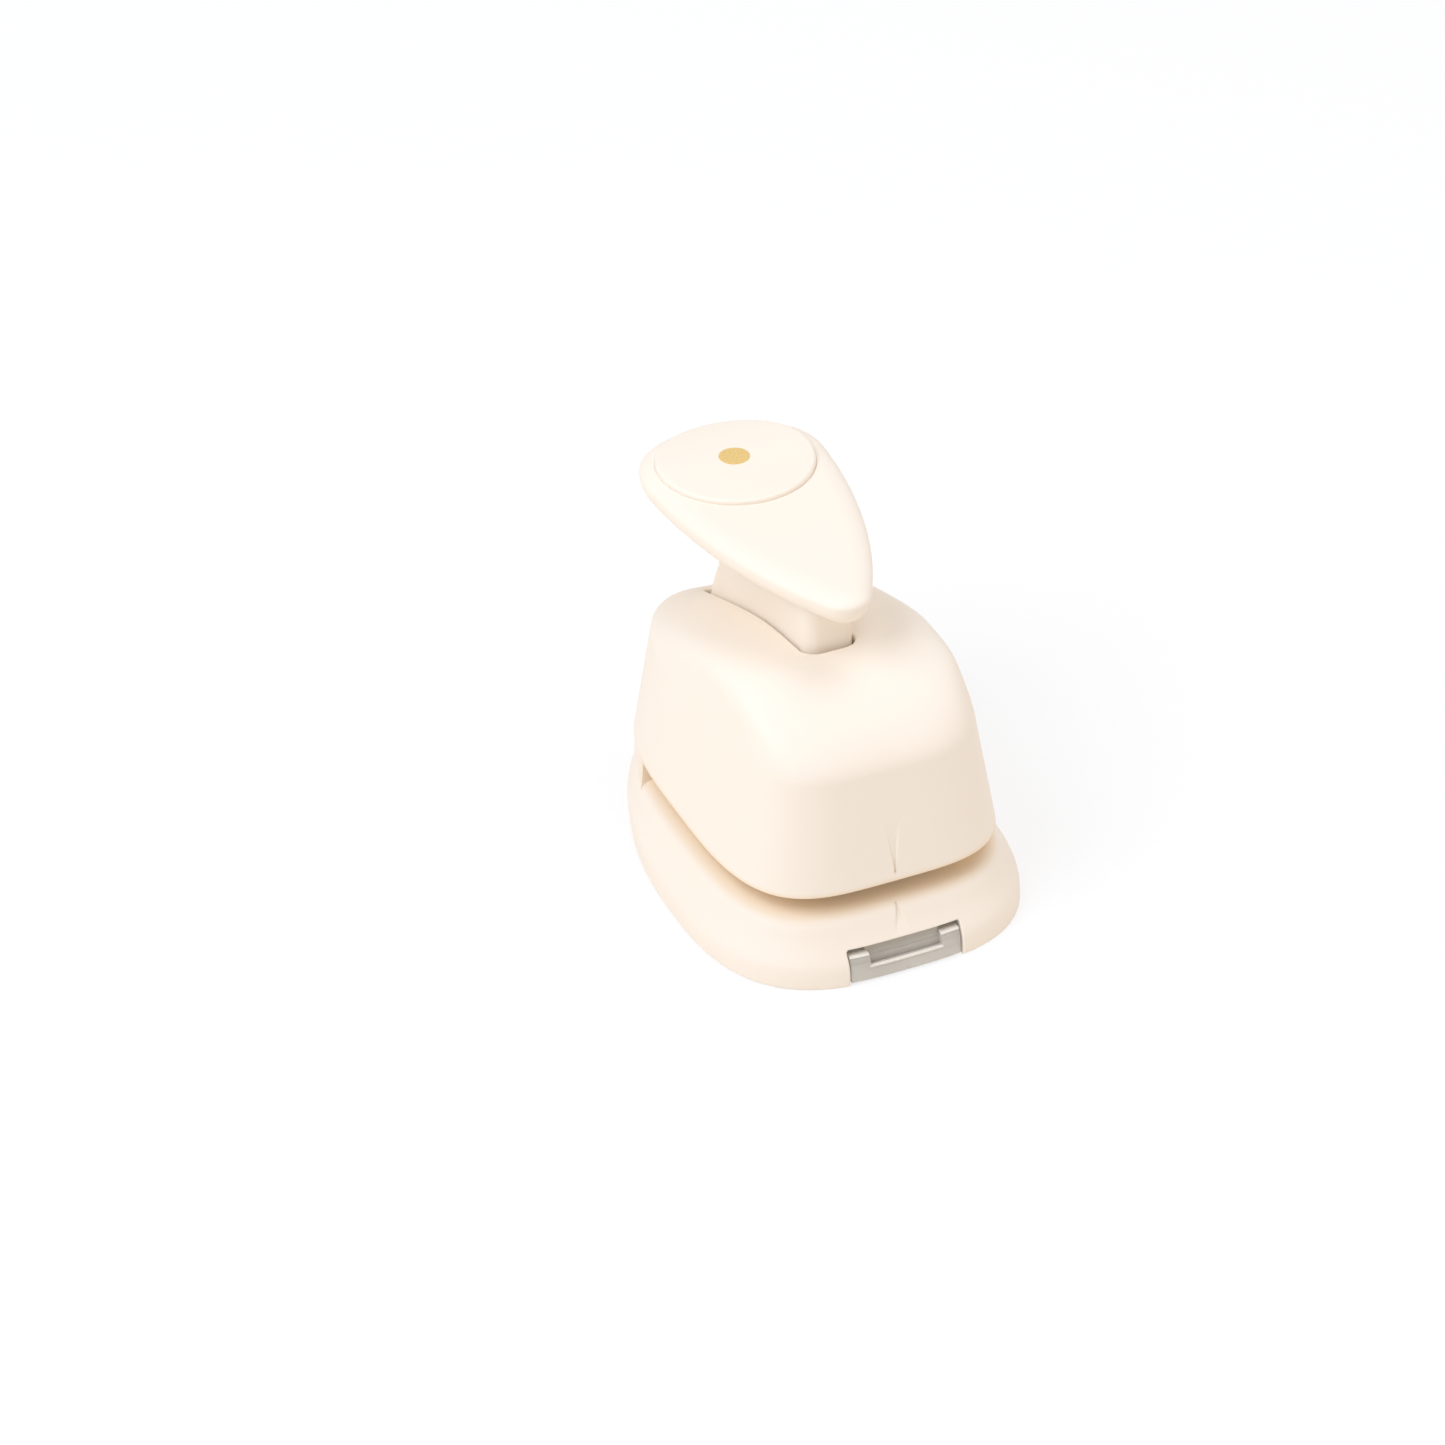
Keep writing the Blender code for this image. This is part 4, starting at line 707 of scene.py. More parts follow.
def make_object(name, builder):
    bmesh.ops.recalc_face_normals(builder, faces=builder.faces[:])
    mesh = bpy.data.meshes.new(name)
    builder.to_mesh(mesh)
    builder.free()
    mesh.shade_smooth()
    mesh.set_sharp_from_angle(angle=SHARP_ANGLE)
    return link(bpy.data.objects.new(name, mesh))


def loft(name, rings):
    builder = bmesh.new()
    rows = [[builder.verts.new(tuple(point)) for point in ring] for ring in rings]
    count = len(rows[0])
    for lower, upper in zip(rows, rows[1:]):
        for i in range(count):
            j = (i + 1) % count
            builder.faces.new((lower[i], lower[j], upper[j], upper[i]))
    builder.faces.new(list(reversed(rows[0])))
    builder.faces.new(rows[-1])
    return make_object(name, builder)


def prism(name, outline, start, end, axis="Z"):
    """Extrude a flat outline. Along X the outline is (y, z), along Z it is (x, y)."""
    if axis == "X":
        return loft(name, [[(level, y, z) for y, z in outline] for level in (start, end)])
    return loft(name, [[(x, y, level) for x, y in outline] for level in (start, end)])


def block(name, low, high):
    outline = ((low[0], low[1]), (high[0], low[1]), (high[0], high[1]), (low[0], high[1]))
    return prism(name, outline, low[2], high[2])


def turned(name, profile, centre, axis="Z", points=ROUND):
    rings = []
    for radius, height in profile:
        angles = math.tau * (np.arange(points) + 0.5) / points
        across, up = radius * np.cos(angles), radius * np.sin(angles)
        level = np.full(points, height)
        order = (level, across, up) if axis == "X" else (across, up, level)
        rings.append(np.stack(order, -1) + np.array(centre))
    return loft(name, rings)


def drum(name, radius, start, end, centre, axis="Z", points=ROUND):
    return turned(name, ((radius, start), (radius, end)), centre, axis, points)


def arc(centre, radius, start, end, steps):
    angles = np.radians(np.linspace(start, end, steps + 1))
    return [(centre[0] + radius * math.cos(a), centre[1] + radius * math.sin(a)) for a in angles]


def rounded_rectangle(left, right, front, rear, radius):
    corners = ((right - radius, rear - radius, 0), (left + radius, rear - radius, 90),
               (left + radius, front + radius, 180), (right - radius, front + radius, 270))
    return [point for x, y, start in corners for point in arc((x, y), radius, start, start + 90, CORNER_STEPS)]


# %% Booleans, soft edges and dressing
SOFT_ANGLE = math.radians(45.0)


def settle(item):
    """Turn an object with modifiers into a plain mesh."""
    made = bpy.data.meshes.new_from_object(item.evaluated_get(bpy.context.evaluated_depsgraph_get()))
    item.modifiers.clear()
    item.data = made
    made.shade_smooth()
    made.set_sharp_from_angle(angle=SHARP_ANGLE)
    return item


def carve(target, operation, *others):
    for other in others:
        step = target.modifiers.new("carve", "BOOLEAN")
        step.operation = operation
        step.solver = "EXACT"
        step.object = other
    settle(target)
    for other in others:
        bpy.data.objects.remove(other)
    return target


def joined(name, *items):
    """One object from several separate bodies that don't touch."""
    builder = bmesh.new()
    for item in items:
        builder.from_mesh(item.data)
        bpy.data.objects.remove(item)
    return make_object(name, builder)


def soften(item, width):
    """Round the edges between faces that meet at more than a small angle."""
    edge = item.modifiers.new("soft_edge", "BEVEL")
    edge.width = width
    edge.segments = 2
    edge.limit_method = "ANGLE"
    edge.angle_limit = SOFT_ANGLE
    return settle(item)


def dress(item, finish, body, slot_name, *nodes_replaced):
    """Give a finished piece its material, the body it rides on and the CAD parts it stands for."""
    item.data.materials.clear()
    item.data.materials.append(finish)
    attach(item, body)
    if nodes_replaced:
        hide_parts(*nodes_replaced)
    corners = np.array([corner.co for corner in item.data.vertices]) * 1000
    print(item.name, "faces:", len(item.data.polygons), "from", corners.min(0).round(2), "to",
          corners.max(0).round(2))
    return item


# %% [markdown]
# ## Inside of the housing
#
# All hollows are first joined into one cutter, because one exact boolean on the dense outside is quicker and cleaner
# than ten. The cutter of the front notch follows the skin and widens a little at it, so the notch's edge comes out
# rounded.

# %% Hollows under the crown and under the deck
OVERRUN = 0.0010
SEAT_GAP = 0.0003
LOWER_CAVITY_TOP = DECK_HEIGHT - DECK_THICKNESS
LOWER_JAW_BOTTOM = DECK_HEIGHT - 0.0075
ROOF_SHARE = 0.98
MOUTH_REAR = back(0.0740)
TONGUE_ROOM_HALF, TONGUE_ROOM_FRONT, TONGUE_ROOM_REAR = 0.0135, back(0.0660), back(0.0825)
JAW_ROOM_HALF, JAW_ROOM_FRONT = 0.0170, back(0.0130)
RAM_ROOM_HALF, RAM_ROOM_FRONT = 0.0144, back(0.0116)
ROOM_CORNER = 0.0040

full_turn = np.linspace(-math.pi, math.pi, 161)[:-1]
even_steps = np.linspace(0.0, 1.0, 9)
roof_steps = np.sin(np.linspace(0.0, 1.0, 26) * math.pi / 2) * ROOF_SHARE


def cavity(name, low, high, shares=even_steps, top=BODY_HEIGHT):
    return loft(name, [on_egg(full_turn, mix(low, high, share), WALL, top) for share in shares])


def room(name, half, front, low, high):
    """Rounded opening between two levels, that ends just in front of the throat's end."""
    outline = rounded_rectangle(-half, half, front, back(THROAT_DEPTH - SEAT_GAP), ROOM_CORNER)
    return prism(name, outline, low - OVERRUN, high + OVERRUN)


hollow = cavity("hollow", CEILING_TOP, BODY_HEIGHT - WALL, roof_steps, BODY_HEIGHT - WALL)
for corner in hollow.data.vertices:
    corner.co.z -= slot_dip(corner.co.x, corner.co.y, corner.co.z + WALL)
well = cavity("well", LOWER_CAVITY_TOP - OVERRUN, CEILING_TOP + OVERRUN)
carve(well, "INTERSECT", block("limit", (-0.06, back(THROAT_DEPTH + STOP_WALL), -0.01),
                               (0.06, back(BODY_LENGTH), 0.07)))
under = cavity("under", FLOOR_THICKNESS, LOWER_CAVITY_TOP)
mouth = prism("mouth", [(x, min(y, MOUTH_REAR)) for x, y, z in on_egg(full_turn, 0.0, WALL)], -OVERRUN,
              FLOOR_THICKNESS + OVERRUN)
tongue_room = block("tongue_room", (-TONGUE_ROOM_HALF, TONGUE_ROOM_FRONT, -OVERRUN),
                    (TONGUE_ROOM_HALF, TONGUE_ROOM_REAR, FLOOR_THICKNESS + OVERRUN))
jaw_room = room("jaw_room", JAW_ROOM_HALF, JAW_ROOM_FRONT, LOWER_CAVITY_TOP, DECK_HEIGHT)
ram_room = room("ram_room", RAM_ROOM_HALF, RAM_ROOM_FRONT, LIP_HEIGHT, CEILING_TOP)

# %% Front notch, with a rounded edge that follows the skin
NOTCH_HALF = 0.0120
NOTCH_HEIGHT = 0.0070
NOTCH_DEPTH = 0.0080
NOTCH_CORNER = 0.0006
NOTCH_ROUND = 0.0004
NOTCH_START = FRONT_Y - 0.0030


def skin_front(x, height):
    """Y of the skin in front, at a distance from the middle and a height."""
    half, ahead, behind, widest, front_power, rear_power = egg(np.maximum(height, 0.0), softness=RIM_SOFTNESS)
    share = np.clip(np.abs(x) / half, 0.0, 1.0)
    return back(widest - ahead * (1.0 - share ** front_power) ** (1.0 / front_power))


def notch_ring(depth, flare=0.0, y=None):
    """Outline of the notch, widened by the flare and wrapped on the skin at a depth, or flat at a given y."""
    half, height = NOTCH_HALF + flare, NOTCH_HEIGHT + flare
    across = np.linspace(-half + NOTCH_CORNER, half - NOTCH_CORNER, 41)
    upright = [(-half, z) for z in np.linspace(-OVERRUN, height - NOTCH_CORNER, 15)]
    left = [(-half + NOTCH_CORNER - NOTCH_CORNER * math.cos(a), height - NOTCH_CORNER + NOTCH_CORNER * math.sin(a))
            for a in np.radians(np.linspace(0.0, 90.0, 7))[1:-1]]
    right = [(-x, z) for x, z in reversed(upright + left)]
    outline = np.array(upright + left + [(x, height) for x in across] + right)
    place = skin_front(outline[:, 0], outline[:, 1]) + depth if y is None else np.full(len(outline), y)
    return np.stack([outline[:, 0], place, outline[:, 1]], -1)


notch_rings = [notch_ring(0.0, NOTCH_ROUND, NOTCH_START)]
for angle in np.radians(np.linspace(0.0, 90.0, 6)):
    notch_rings.append(notch_ring(NOTCH_ROUND * (1.0 - math.cos(angle)), NOTCH_ROUND * (1.0 - math.sin(angle))))
notch_rings.append(notch_ring(0.0, y=back(NOTCH_DEPTH)))
notch = loft("notch", notch_rings)
carve(hollow, "UNION", well, under, mouth, tongue_room, jaw_room, ram_room, notch)
print("cutter faces:", len(hollow.data.polygons))

# %% Carve the housing, then add its posts and hinge ears
POST_X = 0.0215
POST_PLACES = [(side * POST_X, y) for side in (-1, 1) for y in (back(0.0200), back(0.0500))]
POST_RADIUS = 0.0034
POST_FOOT = LOWER_JAW_BOTTOM + 0.0023
PILOT_RADIUS = 0.0012
PILOT_TOP = DECK_HEIGHT - 0.0010
HINGE_CENTRE = (back(0.0780), 0.0030)
HINGE_LOW = 0.0010
HINGE_BORE = 0.0013
EAR_RADIUS, EAR_THICKNESS, EAR_BORE_DEPTH = 0.0026, 0.0034, 0.0023
TONGUE_HALF = 0.0131
TRAY_GAP = 0.0004
EAR_START = TONGUE_HALF + TRAY_GAP


def hinge_lug(name, radius, start, end, steps):
    """Lug round the tray's hinge with a half-round top, between two places across the punch."""
    line = [(HINGE_CENTRE[0] + radius, HINGE_LOW), *arc(HINGE_CENTRE, radius, 0, 180, steps),
            (HINGE_CENTRE[0] - radius, HINGE_LOW)]
    return prism(name, line, start, end, "X")


def hinge_drum(name, radius, side, start, end, points):
    return drum(name, radius, *sorted((side * start, side * end)), (0.0, *HINGE_CENTRE), "X", points)


housing = make_object("housing_shell", shell)
carve(housing, "DIFFERENCE", hollow)
posts = [drum("post", POST_RADIUS, POST_FOOT, LOWER_CAVITY_TOP + OVERRUN, (x, y, 0.0), points=40)
         for x, y in POST_PLACES]
ears = [hinge_lug("ear", EAR_RADIUS, side * EAR_START, side * (EAR_START + EAR_THICKNESS), 20) for side in (-1, 1)]
bores = [drum("pilot", PILOT_RADIUS, -OVERRUN, PILOT_TOP, (x, y, 0.0), points=32) for x, y in POST_PLACES]
bores += [hinge_drum("bore", HINGE_BORE, side, EAR_START - OVERRUN, EAR_START + EAR_BORE_DEPTH, 32)
          for side in (-1, 1)]
carve(housing, "UNION", joined("posts_and_ears", *posts, *ears))
carve(housing, "DIFFERENCE", joined("pilots_and_bores", *bores))
dress(housing, housing_finish, "body", "housing_shell", "housing")

# %% [markdown]
# ## Lever
#
# The cap is a teardrop. Its outline is what a circle draws that shrinks on its way from the round end to the tip, so
# a smaller outline inside it is the same rule with a smaller radius. Stacked outlines give the soft edge: a quarter of
# a flat ellipse above, and of a tall one below.

# %% Outline of the cap
CAP_CENTRE = Vector((0.0, 0.030498, 0.0692))
CAP_TILT = math.radians(1.3)
CAP_ROUND_RADIUS = 0.0188
CAP_TIP_RADIUS = 0.0054
CAP_TIP_REACH = 0.0490
CAP_BULGE = 0.0028
CAP_THICKNESS = 0.0066
CAP_UPPER = 0.0019
CAP_EDGE = 0.0046
CAP_DROOP = 7.2
CAP_POINTS = 288


def teardrop(inset):
    turn = math.tau * np.arange(CAP_POINTS) / CAP_POINTS
    normal = np.stack([np.cos(turn), np.sin(turn)], -1)
    shrink = CAP_ROUND_RADIUS - CAP_TIP_RADIUS
    share = np.clip((4 * CAP_BULGE - shrink - CAP_TIP_REACH * normal[:, 1]) / (8 * CAP_BULGE), 0.0, 1.0)
    radius = CAP_ROUND_RADIUS - shrink * share + 4 * CAP_BULGE * share * (1.0 - share) - inset
    outline = normal * radius[:, None]
    outline[:, 1] -= CAP_TIP_REACH * share
    return outline


def tilted(item):
    item.data.transform(Matrix.Translation(CAP_CENTRE) @ Matrix.Rotation(-CAP_TILT, 4, "X"))
    return item


def drooped(item):
    """Let what lies behind the cap's middle sink a little, as the palm side of the real lever does."""
    for corner in item.data.vertices:
        corner.co.z -= CAP_DROOP * max(corner.co.y, 0.0) ** 2
    return item


# %% Cap, with its soft edge, the recess for the pad and the hollow underside
DISC_RADIUS = 0.0158
DISC_LOW = -0.0013
DISC_TOP = 0.0009
RECESS_GAP = 0.00001
RECESS_ROUND = 0.0002
CAP_SCREWS = (-0.0100, -0.0030)
DISC_THICKNESS = 0.0022
CAP_SCREW_HEAD = 0.0014
CAP_SCREW_SEAT = DISC_TOP - DISC_THICKNESS - 3 * SEAT_GAP - CAP_SCREW_HEAD
CAP_HOLE, CAP_HEAD_HOLE = 0.0014, 0.0027
POCKET_INSET = 0.0056
POCKET_ROOF = -0.0030
SPINE_HALF, SPINE_END = 0.0075, 0.0060

cap_rings = []
for angle in np.radians(np.linspace(-90.0, 90.0, 33)):
    rise = CAP_UPPER if angle > 0 else CAP_THICKNESS - CAP_UPPER
    height = rise * math.sin(angle) - CAP_UPPER
    cap_rings.append([(x, y, height) for x, y in teardrop(CAP_EDGE * (1.0 - math.cos(angle)))])
cap = loft("lever_cap_shell", cap_rings)
pocket = prism("pocket", teardrop(POCKET_INSET), -CAP_THICKNESS - OVERRUN, POCKET_ROOF)
carve(pocket, "DIFFERENCE", block("spine", (-SPINE_HALF, -0.09, -0.02), (SPINE_HALF, SPINE_END, 0.01)))
recess_radius = DISC_RADIUS + RECESS_GAP
recess_profile = [(recess_radius, DISC_LOW - SEAT_GAP), (recess_radius, -RECESS_ROUND)]
recess_profile += [(recess_radius + RECESS_ROUND * (1.0 - math.cos(a)), RECESS_ROUND * (math.sin(a) - 1.0))
                   for a in np.radians((20, 40, 60, 80, 90))]
recess_profile.append((recess_radius + RECESS_ROUND, OVERRUN))
carve(cap, "DIFFERENCE", pocket, turned("recess", recess_profile, ORIGIN, points=192))
screw_hole = ((CAP_HOLE, -CAP_THICKNESS - OVERRUN), (CAP_HOLE, CAP_SCREW_SEAT), (CAP_HEAD_HOLE, CAP_SCREW_SEAT),
              (CAP_HEAD_HOLE, DISC_TOP))
for place in CAP_SCREWS:
    carve(cap, "DIFFERENCE", turned("screw_hole", screw_hole, (0.0, place, 0.0), points=48))
dress(tilted(drooped(cap)), lever_finish, "lever", "lever_plastic", "lever_cap")

# %% [markdown]
# The round pad is a separate disc, let into the cap and standing a little proud. Its top has a hardly visible dish and
# a soft rim. The gold dot on it is foil, stamped on hot, so it is only a skin with a pressed edge.

# %% Pad and gold dot
DISC_EDGE = 0.0007
DISC_FOOT_EDGE = 0.0002
DISC_DISH = 0.00012
DISH_RADIUS = DISC_RADIUS - 0.0020
DISC_MIDDLE = 0.0004
DOT_RADIUS = 0.0031
DOT_Y = 0.0005
FOIL = 0.00002
FOIL_EDGE = 0.00006
FOIL_BURIED = 0.0001
FOIL_MIDDLE = 0.0002


def pad_height(radius):
    """Top of the pad: a wide, very shallow dish inside a soft rim."""
    return DISC_TOP - DISC_DISH * (1.0 - min(radius / DISH_RADIUS, 1.0) ** 2) ** 2


pad_profile = [(DISC_RADIUS - DISC_FOOT_EDGE, DISC_LOW), (DISC_RADIUS, DISC_LOW + DISC_FOOT_EDGE)]
pad_profile += [(DISC_RADIUS - DISC_EDGE + DISC_EDGE * math.cos(a), DISC_TOP - DISC_EDGE + DISC_EDGE * math.sin(a))
                for a in np.radians(np.linspace(0.0, 90.0, 10))]
pad_profile += [(r, pad_height(r)) for r in np.linspace(DISH_RADIUS, DISC_MIDDLE, 16)]
pad = tilted(drooped(turned("lever_pad", pad_profile, ORIGIN, points=240)))
dress(pad, pad_finish, "lever", "pad", "cap_disc")

foil_profile = [(DOT_RADIUS - FOIL_BURIED, pad_height(DOT_RADIUS) - FOIL_BURIED), (DOT_RADIUS, pad_height(DOT_RADIUS))]
foil_profile += [(r, pad_height(r) + FOIL) for r in np.linspace(DOT_RADIUS - FOIL_EDGE, FOIL_MIDDLE, 10)]
dot = tilted(drooped(turned("gold_dot", foil_profile, (0.0, DOT_Y, 0.0), points=120)))
dress(dot, gold_finish, "lever", "pad")

# %% [markdown]
# The arm is one slab, seen from the side as a long curved lever. It has a boss for the axle, a nose that pushes the
# punch, a tail that keeps the slot covered, and a stem that widens into the cap. Its front corners are well rounded
# where it shows above the slot.

# %% Side view of the arm
PIVOT = (-0.0313857, 0.0370)
PUNCH_Y = back(0.0380)
BOSS_RADIUS = 0.0045
NOSE_RADIUS = 0.0030
STOP_START = 0.0065
STOP_GAP = 0.0006
TAIL_LOW = 0.0300
TAIL_DROP = 0.0170
TAIL_REAR = back(0.0828 - 0.0004)
TAIL_FRONT = back(0.0470)
ROOF_REAR = back(0.0398)
ROOF_HEIGHT = mix(CEILING_TOP, BODY_HEIGHT - WALL, ROOF_SHARE)
GUSSET_START = 0.0480

tail_centre = (PIVOT[0], PIVOT[1] - TAIL_DROP)
tail_radius = math.hypot(TAIL_REAR - PIVOT[0], TAIL_LOW - tail_centre[1])
tail_ends = [math.degrees(math.asin((z - tail_centre[1]) / tail_radius)) for z in (GUSSET_START, TAIL_LOW)]
tail_line = arc(tail_centre, tail_radius, *tail_ends, steps=24)

arm_line = arc(PIVOT, BOSS_RADIUS, 260, 130, 30)
for share in np.linspace(0.0, 1.0, 12):
    height = mix(PIVOT[1] + STOP_START, ROOF_HEIGHT, share)
    inner_front = float(on_egg(FRONT, height, WALL, BODY_HEIGHT - WALL)[1])
    arm_line.append((inner_front + STOP_GAP, height - STOP_GAP))
arm_line += [(ROOF_REAR, ROOF_HEIGHT - STOP_GAP), *tail_line, (TAIL_FRONT, PIVOT[1])]
arm_line += arc((PUNCH_Y, PIVOT[1]), NOSE_RADIUS, 310, 215, 24)

# %% Side view of the stem
GUSSET_BACK = CAP_CENTRE.y - FRONT_Y + 0.0012
GUSSET_EDGE = 0.0015
STEM_FRONT = 0.0354
STEM_REAR = 0.0738
STEM_LEAN = 0.0014
STEM_FOOT = GUSSET_START - 0.0022
STEM_BURIED = 0.0013


def cap_underside(y):
    """Height of the stem's top under the tilted cap."""
    return CAP_CENTRE.z + (CAP_CENTRE.y - y) * math.tan(CAP_TILT) - CAP_THICKNESS - SEAT_GAP


stem_front, stem_rear = back(STEM_FRONT + STEM_LEAN), back(GUSSET_BACK)
stem_line = [(back(STEM_FRONT), STEM_FOOT), (stem_front, cap_underside(stem_front) + STEM_BURIED),
             (stem_rear, cap_underside(stem_rear))]
for angle in np.radians(np.linspace(90.0, 0.0, 25)):
    stem_line.append((mix(tail_line[0][0], stem_rear, 1.0 - math.cos(angle)),
                      mix(tail_line[0][1], cap_underside(stem_rear) - GUSSET_EDGE, math.sin(angle))))
stem_line.append((back(STEM_REAR), STEM_FOOT))

# %% Arm
ARM_HALF = 0.0053
ARM_BORE = 0.0021
ARM_PILOT_DEPTH = 0.0072
STEM_ROUND = 0.0029
STEM_REAR_ROUND = 0.0005
TOP_NEAR = 0.0004


def round_upright_edges(item, place, radius, segments):
    """Bevel the edges of a slab that run along its outline and lie where the test says."""
    builder = bmesh.new()
    builder.from_mesh(item.data)
    edges = [edge for edge in builder.edges
             if abs(edge.verts[0].co.x - edge.verts[1].co.x) < CLOSE and place([end.co for end in edge.verts])]
    bmesh.ops.bevel(builder, geom=edges, offset=radius, segments=segments, profile=0.5, affect="EDGES")
    builder.to_mesh(item.data)
    builder.free()
    return len(edges)


def at_stem_front(ends):
    return abs(ends[0].z - ends[1].z) > WALL and all(end.y < PUNCH_Y for end in ends)


def at_stem_rear(ends):
    """The curved rear of the stem, and its straight side below, but not its top under the cap."""
    top = all(abs(end.z - cap_underside(end.y)) < TOP_NEAR for end in ends)
    return all(end.y > back(STEM_REAR) for end in ends) and not top and min(end.z for end in ends) > STEM_FOOT


arm = prism("lever_arm_slab", arm_line, -ARM_HALF, ARM_HALF, "X")
stem = prism("stem", stem_line, -ARM_HALF, ARM_HALF, "X")
front_count = round_upright_edges(stem, at_stem_front, STEM_ROUND, 10)
rear_count = round_upright_edges(stem, at_stem_rear, STEM_REAR_ROUND, 3)
print("stem edges rounded:", front_count, rear_count)
carve(arm, "UNION", stem)
carve(arm, "DIFFERENCE", drum("arm_bore", ARM_BORE, -0.02, 0.02, (0.0, *PIVOT), "X"))
for place in CAP_SCREWS:
    carve(arm, "DIFFERENCE", tilted(drum("arm_pilot", PILOT_RADIUS, -CAP_THICKNESS - ARM_PILOT_DEPTH, OVERRUN,
                                         (0.0, place, 0.0), points=32)))
dress(arm, lever_finish, "lever", "lever_plastic", "lever_arm")

# %% [markdown]
# ## Clear tray
#
# The tray is a shallow clear moulding with a hinge behind and a finger tab in the front notch. The tab repeats the
# skin's curve, so it is lofted in strips that follow the same rule. A lug stands at both ends of a low panel, and an
# upright screen closes the notch behind them. The top edges of the panel and the lugs carry a painted highlight in a
# lighter styrene, and the tab's foot has a small nick in the middle.

# %% Tray with its hinge
TRAY_FLOOR_TOP = 0.0016
TRAY_RIM = 0.0046
TRAY_WALL = 0.0012
TRAY_BACK = back(0.0732)
TRAY_SOFT_EDGE = 0.00018
TONGUE_START, TONGUE_END = back(0.0720), back(0.0812)
KNUCKLE_RADIUS, KNUCKLE_WIDTH = 0.0020, 0.0040
PIN_RADIUS, PIN_BURIED, PIN_REACH = 0.0010, 0.0020, 0.0021


def tray_line(inset):
    return [(x, min(y, TRAY_BACK - inset)) for x, y, z in on_egg(full_turn, 0.0, WALL + TRAY_GAP + inset)]


tray = prism("clear_tray", tray_line(0.0), TRAY_GAP, TRAY_RIM)
carve(tray, "DIFFERENCE", prism("tray_hollow", tray_line(TRAY_WALL), TRAY_FLOOR_TOP, TRAY_RIM + OVERRUN),
      block("rear_reach", (-HALF_WIDTH, TONGUE_START, TRAY_FLOOR_TOP), (HALF_WIDTH, MOUTH_REAR, TRAY_RIM + OVERRUN)))
carve(tray, "UNION", block("tongue", (-TONGUE_HALF, TONGUE_START, TRAY_GAP), (TONGUE_HALF, TONGUE_END, TRAY_FLOOR_TOP)))
for side in (-1, 1):
    knuckle = hinge_lug("knuckle", KNUCKLE_RADIUS, side * (TONGUE_HALF - KNUCKLE_WIDTH), side * TONGUE_HALF, 24)
    pin = hinge_drum("hinge_pin", PIN_RADIUS, side, TONGUE_HALF - PIN_BURIED, TONGUE_HALF + PIN_REACH, 40)
    carve(tray, "UNION", knuckle, pin)

# %% Finger tab
TAB_HALF = NOTCH_HALF - TRAY_GAP
LUG_START = TAB_HALF - 0.0040
TAB_ENDS = (-TAB_HALF, TAB_HALF)
LUG_ENDS = ((-TAB_HALF, -LUG_START), (LUG_START, TAB_HALF))
BETWEEN_LUGS = (-LUG_START - 0.0002, LUG_START + 0.0002)
TAB_SETBACK = 0.0006
LUG_LOW, LUG_TOP, LUG_CORNER = TRAY_GAP + 0.0004, 0.0056, 0.0006
PANEL_TOP = 0.0032
SCREEN_LOW, SCREEN_TOP, SCREEN_SETBACK = TRAY_FLOOR_TOP - 0.0001, 0.0066, 0.0022
FOOT_DEPTH, PANEL_DEPTH, LUG_DEPTH, SCREEN_DEPTH = 0.0034, 0.0012, 0.0022, 0.0008
STRIP_COLUMNS, STRIP_ROWS, STRIP_POWER = 49, 17, 0.8
NICK_HALF, NICK_HEIGHT, NICK_FRONT, NICK_TIP = 0.0007, 0.0009, FRONT_Y - 0.0012, FRONT_Y + 0.0010


def skin_strip(name, ends, setback, thickness, low, high, corner=0.0):
    """Strip that follows the skin, with its upper front edge rounded by the corner size."""
    rings = []
    across = np.linspace(*ends, STRIP_COLUMNS)
    for share in np.linspace(0.0, 1.0, STRIP_ROWS):
        height = mix(low, high, share ** STRIP_POWER)
        pull = corner - math.sqrt(max(corner ** 2 - max(height - (high - corner), 0.0) ** 2, 0.0))
        front = skin_front(across, np.full(across.shape, height)) + setback
        rings.append([(x, y + pull, height) for x, y in zip(across, front)]
                     + [(x, y + thickness, height) for x, y in reversed(list(zip(across, front)))])
    return loft(name, rings)


carve(tray, "UNION", skin_strip("tab_foot", TAB_ENDS, TAB_SETBACK, FOOT_DEPTH, TRAY_GAP, TRAY_FLOOR_TOP))
carve(tray, "UNION", skin_strip("tab_panel", TAB_ENDS, TAB_SETBACK, PANEL_DEPTH, TRAY_GAP, PANEL_TOP))
for ends in LUG_ENDS:
    carve(tray, "UNION", skin_strip("lug", ends, TAB_SETBACK, LUG_DEPTH, LUG_LOW, LUG_TOP, LUG_CORNER))
carve(tray, "UNION", skin_strip("tab_screen", BETWEEN_LUGS, SCREEN_SETBACK, SCREEN_DEPTH, SCREEN_LOW, SCREEN_TOP))
nick = prism("nick", ((-NICK_HALF, NICK_FRONT), (NICK_HALF, NICK_FRONT), (0.0, NICK_TIP)), -OVERRUN, NICK_HEIGHT)
carve(tray, "DIFFERENCE", nick)
soften(tray, TRAY_SOFT_EDGE)
dress(tray, styrene_finish, "tray", "clear_tray", "waste_tray")

# %% Painted highlight on the tab's top edges
EDGE_SETBACK = 0.0005
EDGE_SOFT = 0.00010
# thickness, low, high and corner
PANEL_EDGE = (0.0006, PANEL_TOP - 0.0001, PANEL_TOP + 0.0002, 0.0001)
LUG_EDGE = (0.0014, LUG_TOP - 0.0002, LUG_TOP + 0.0001, 0.0002)

# Lighter strips along the tab's top edges are a painted highlight.
edge = skin_strip("tab_edge", BETWEEN_LUGS, EDGE_SETBACK, *PANEL_EDGE)
for ends in LUG_ENDS:
    carve(edge, "UNION", skin_strip("lug_edge", ends, EDGE_SETBACK, *LUG_EDGE))
soften(edge, EDGE_SOFT)
dress(edge, tab_highlight_finish, "tray", "clear_tray")

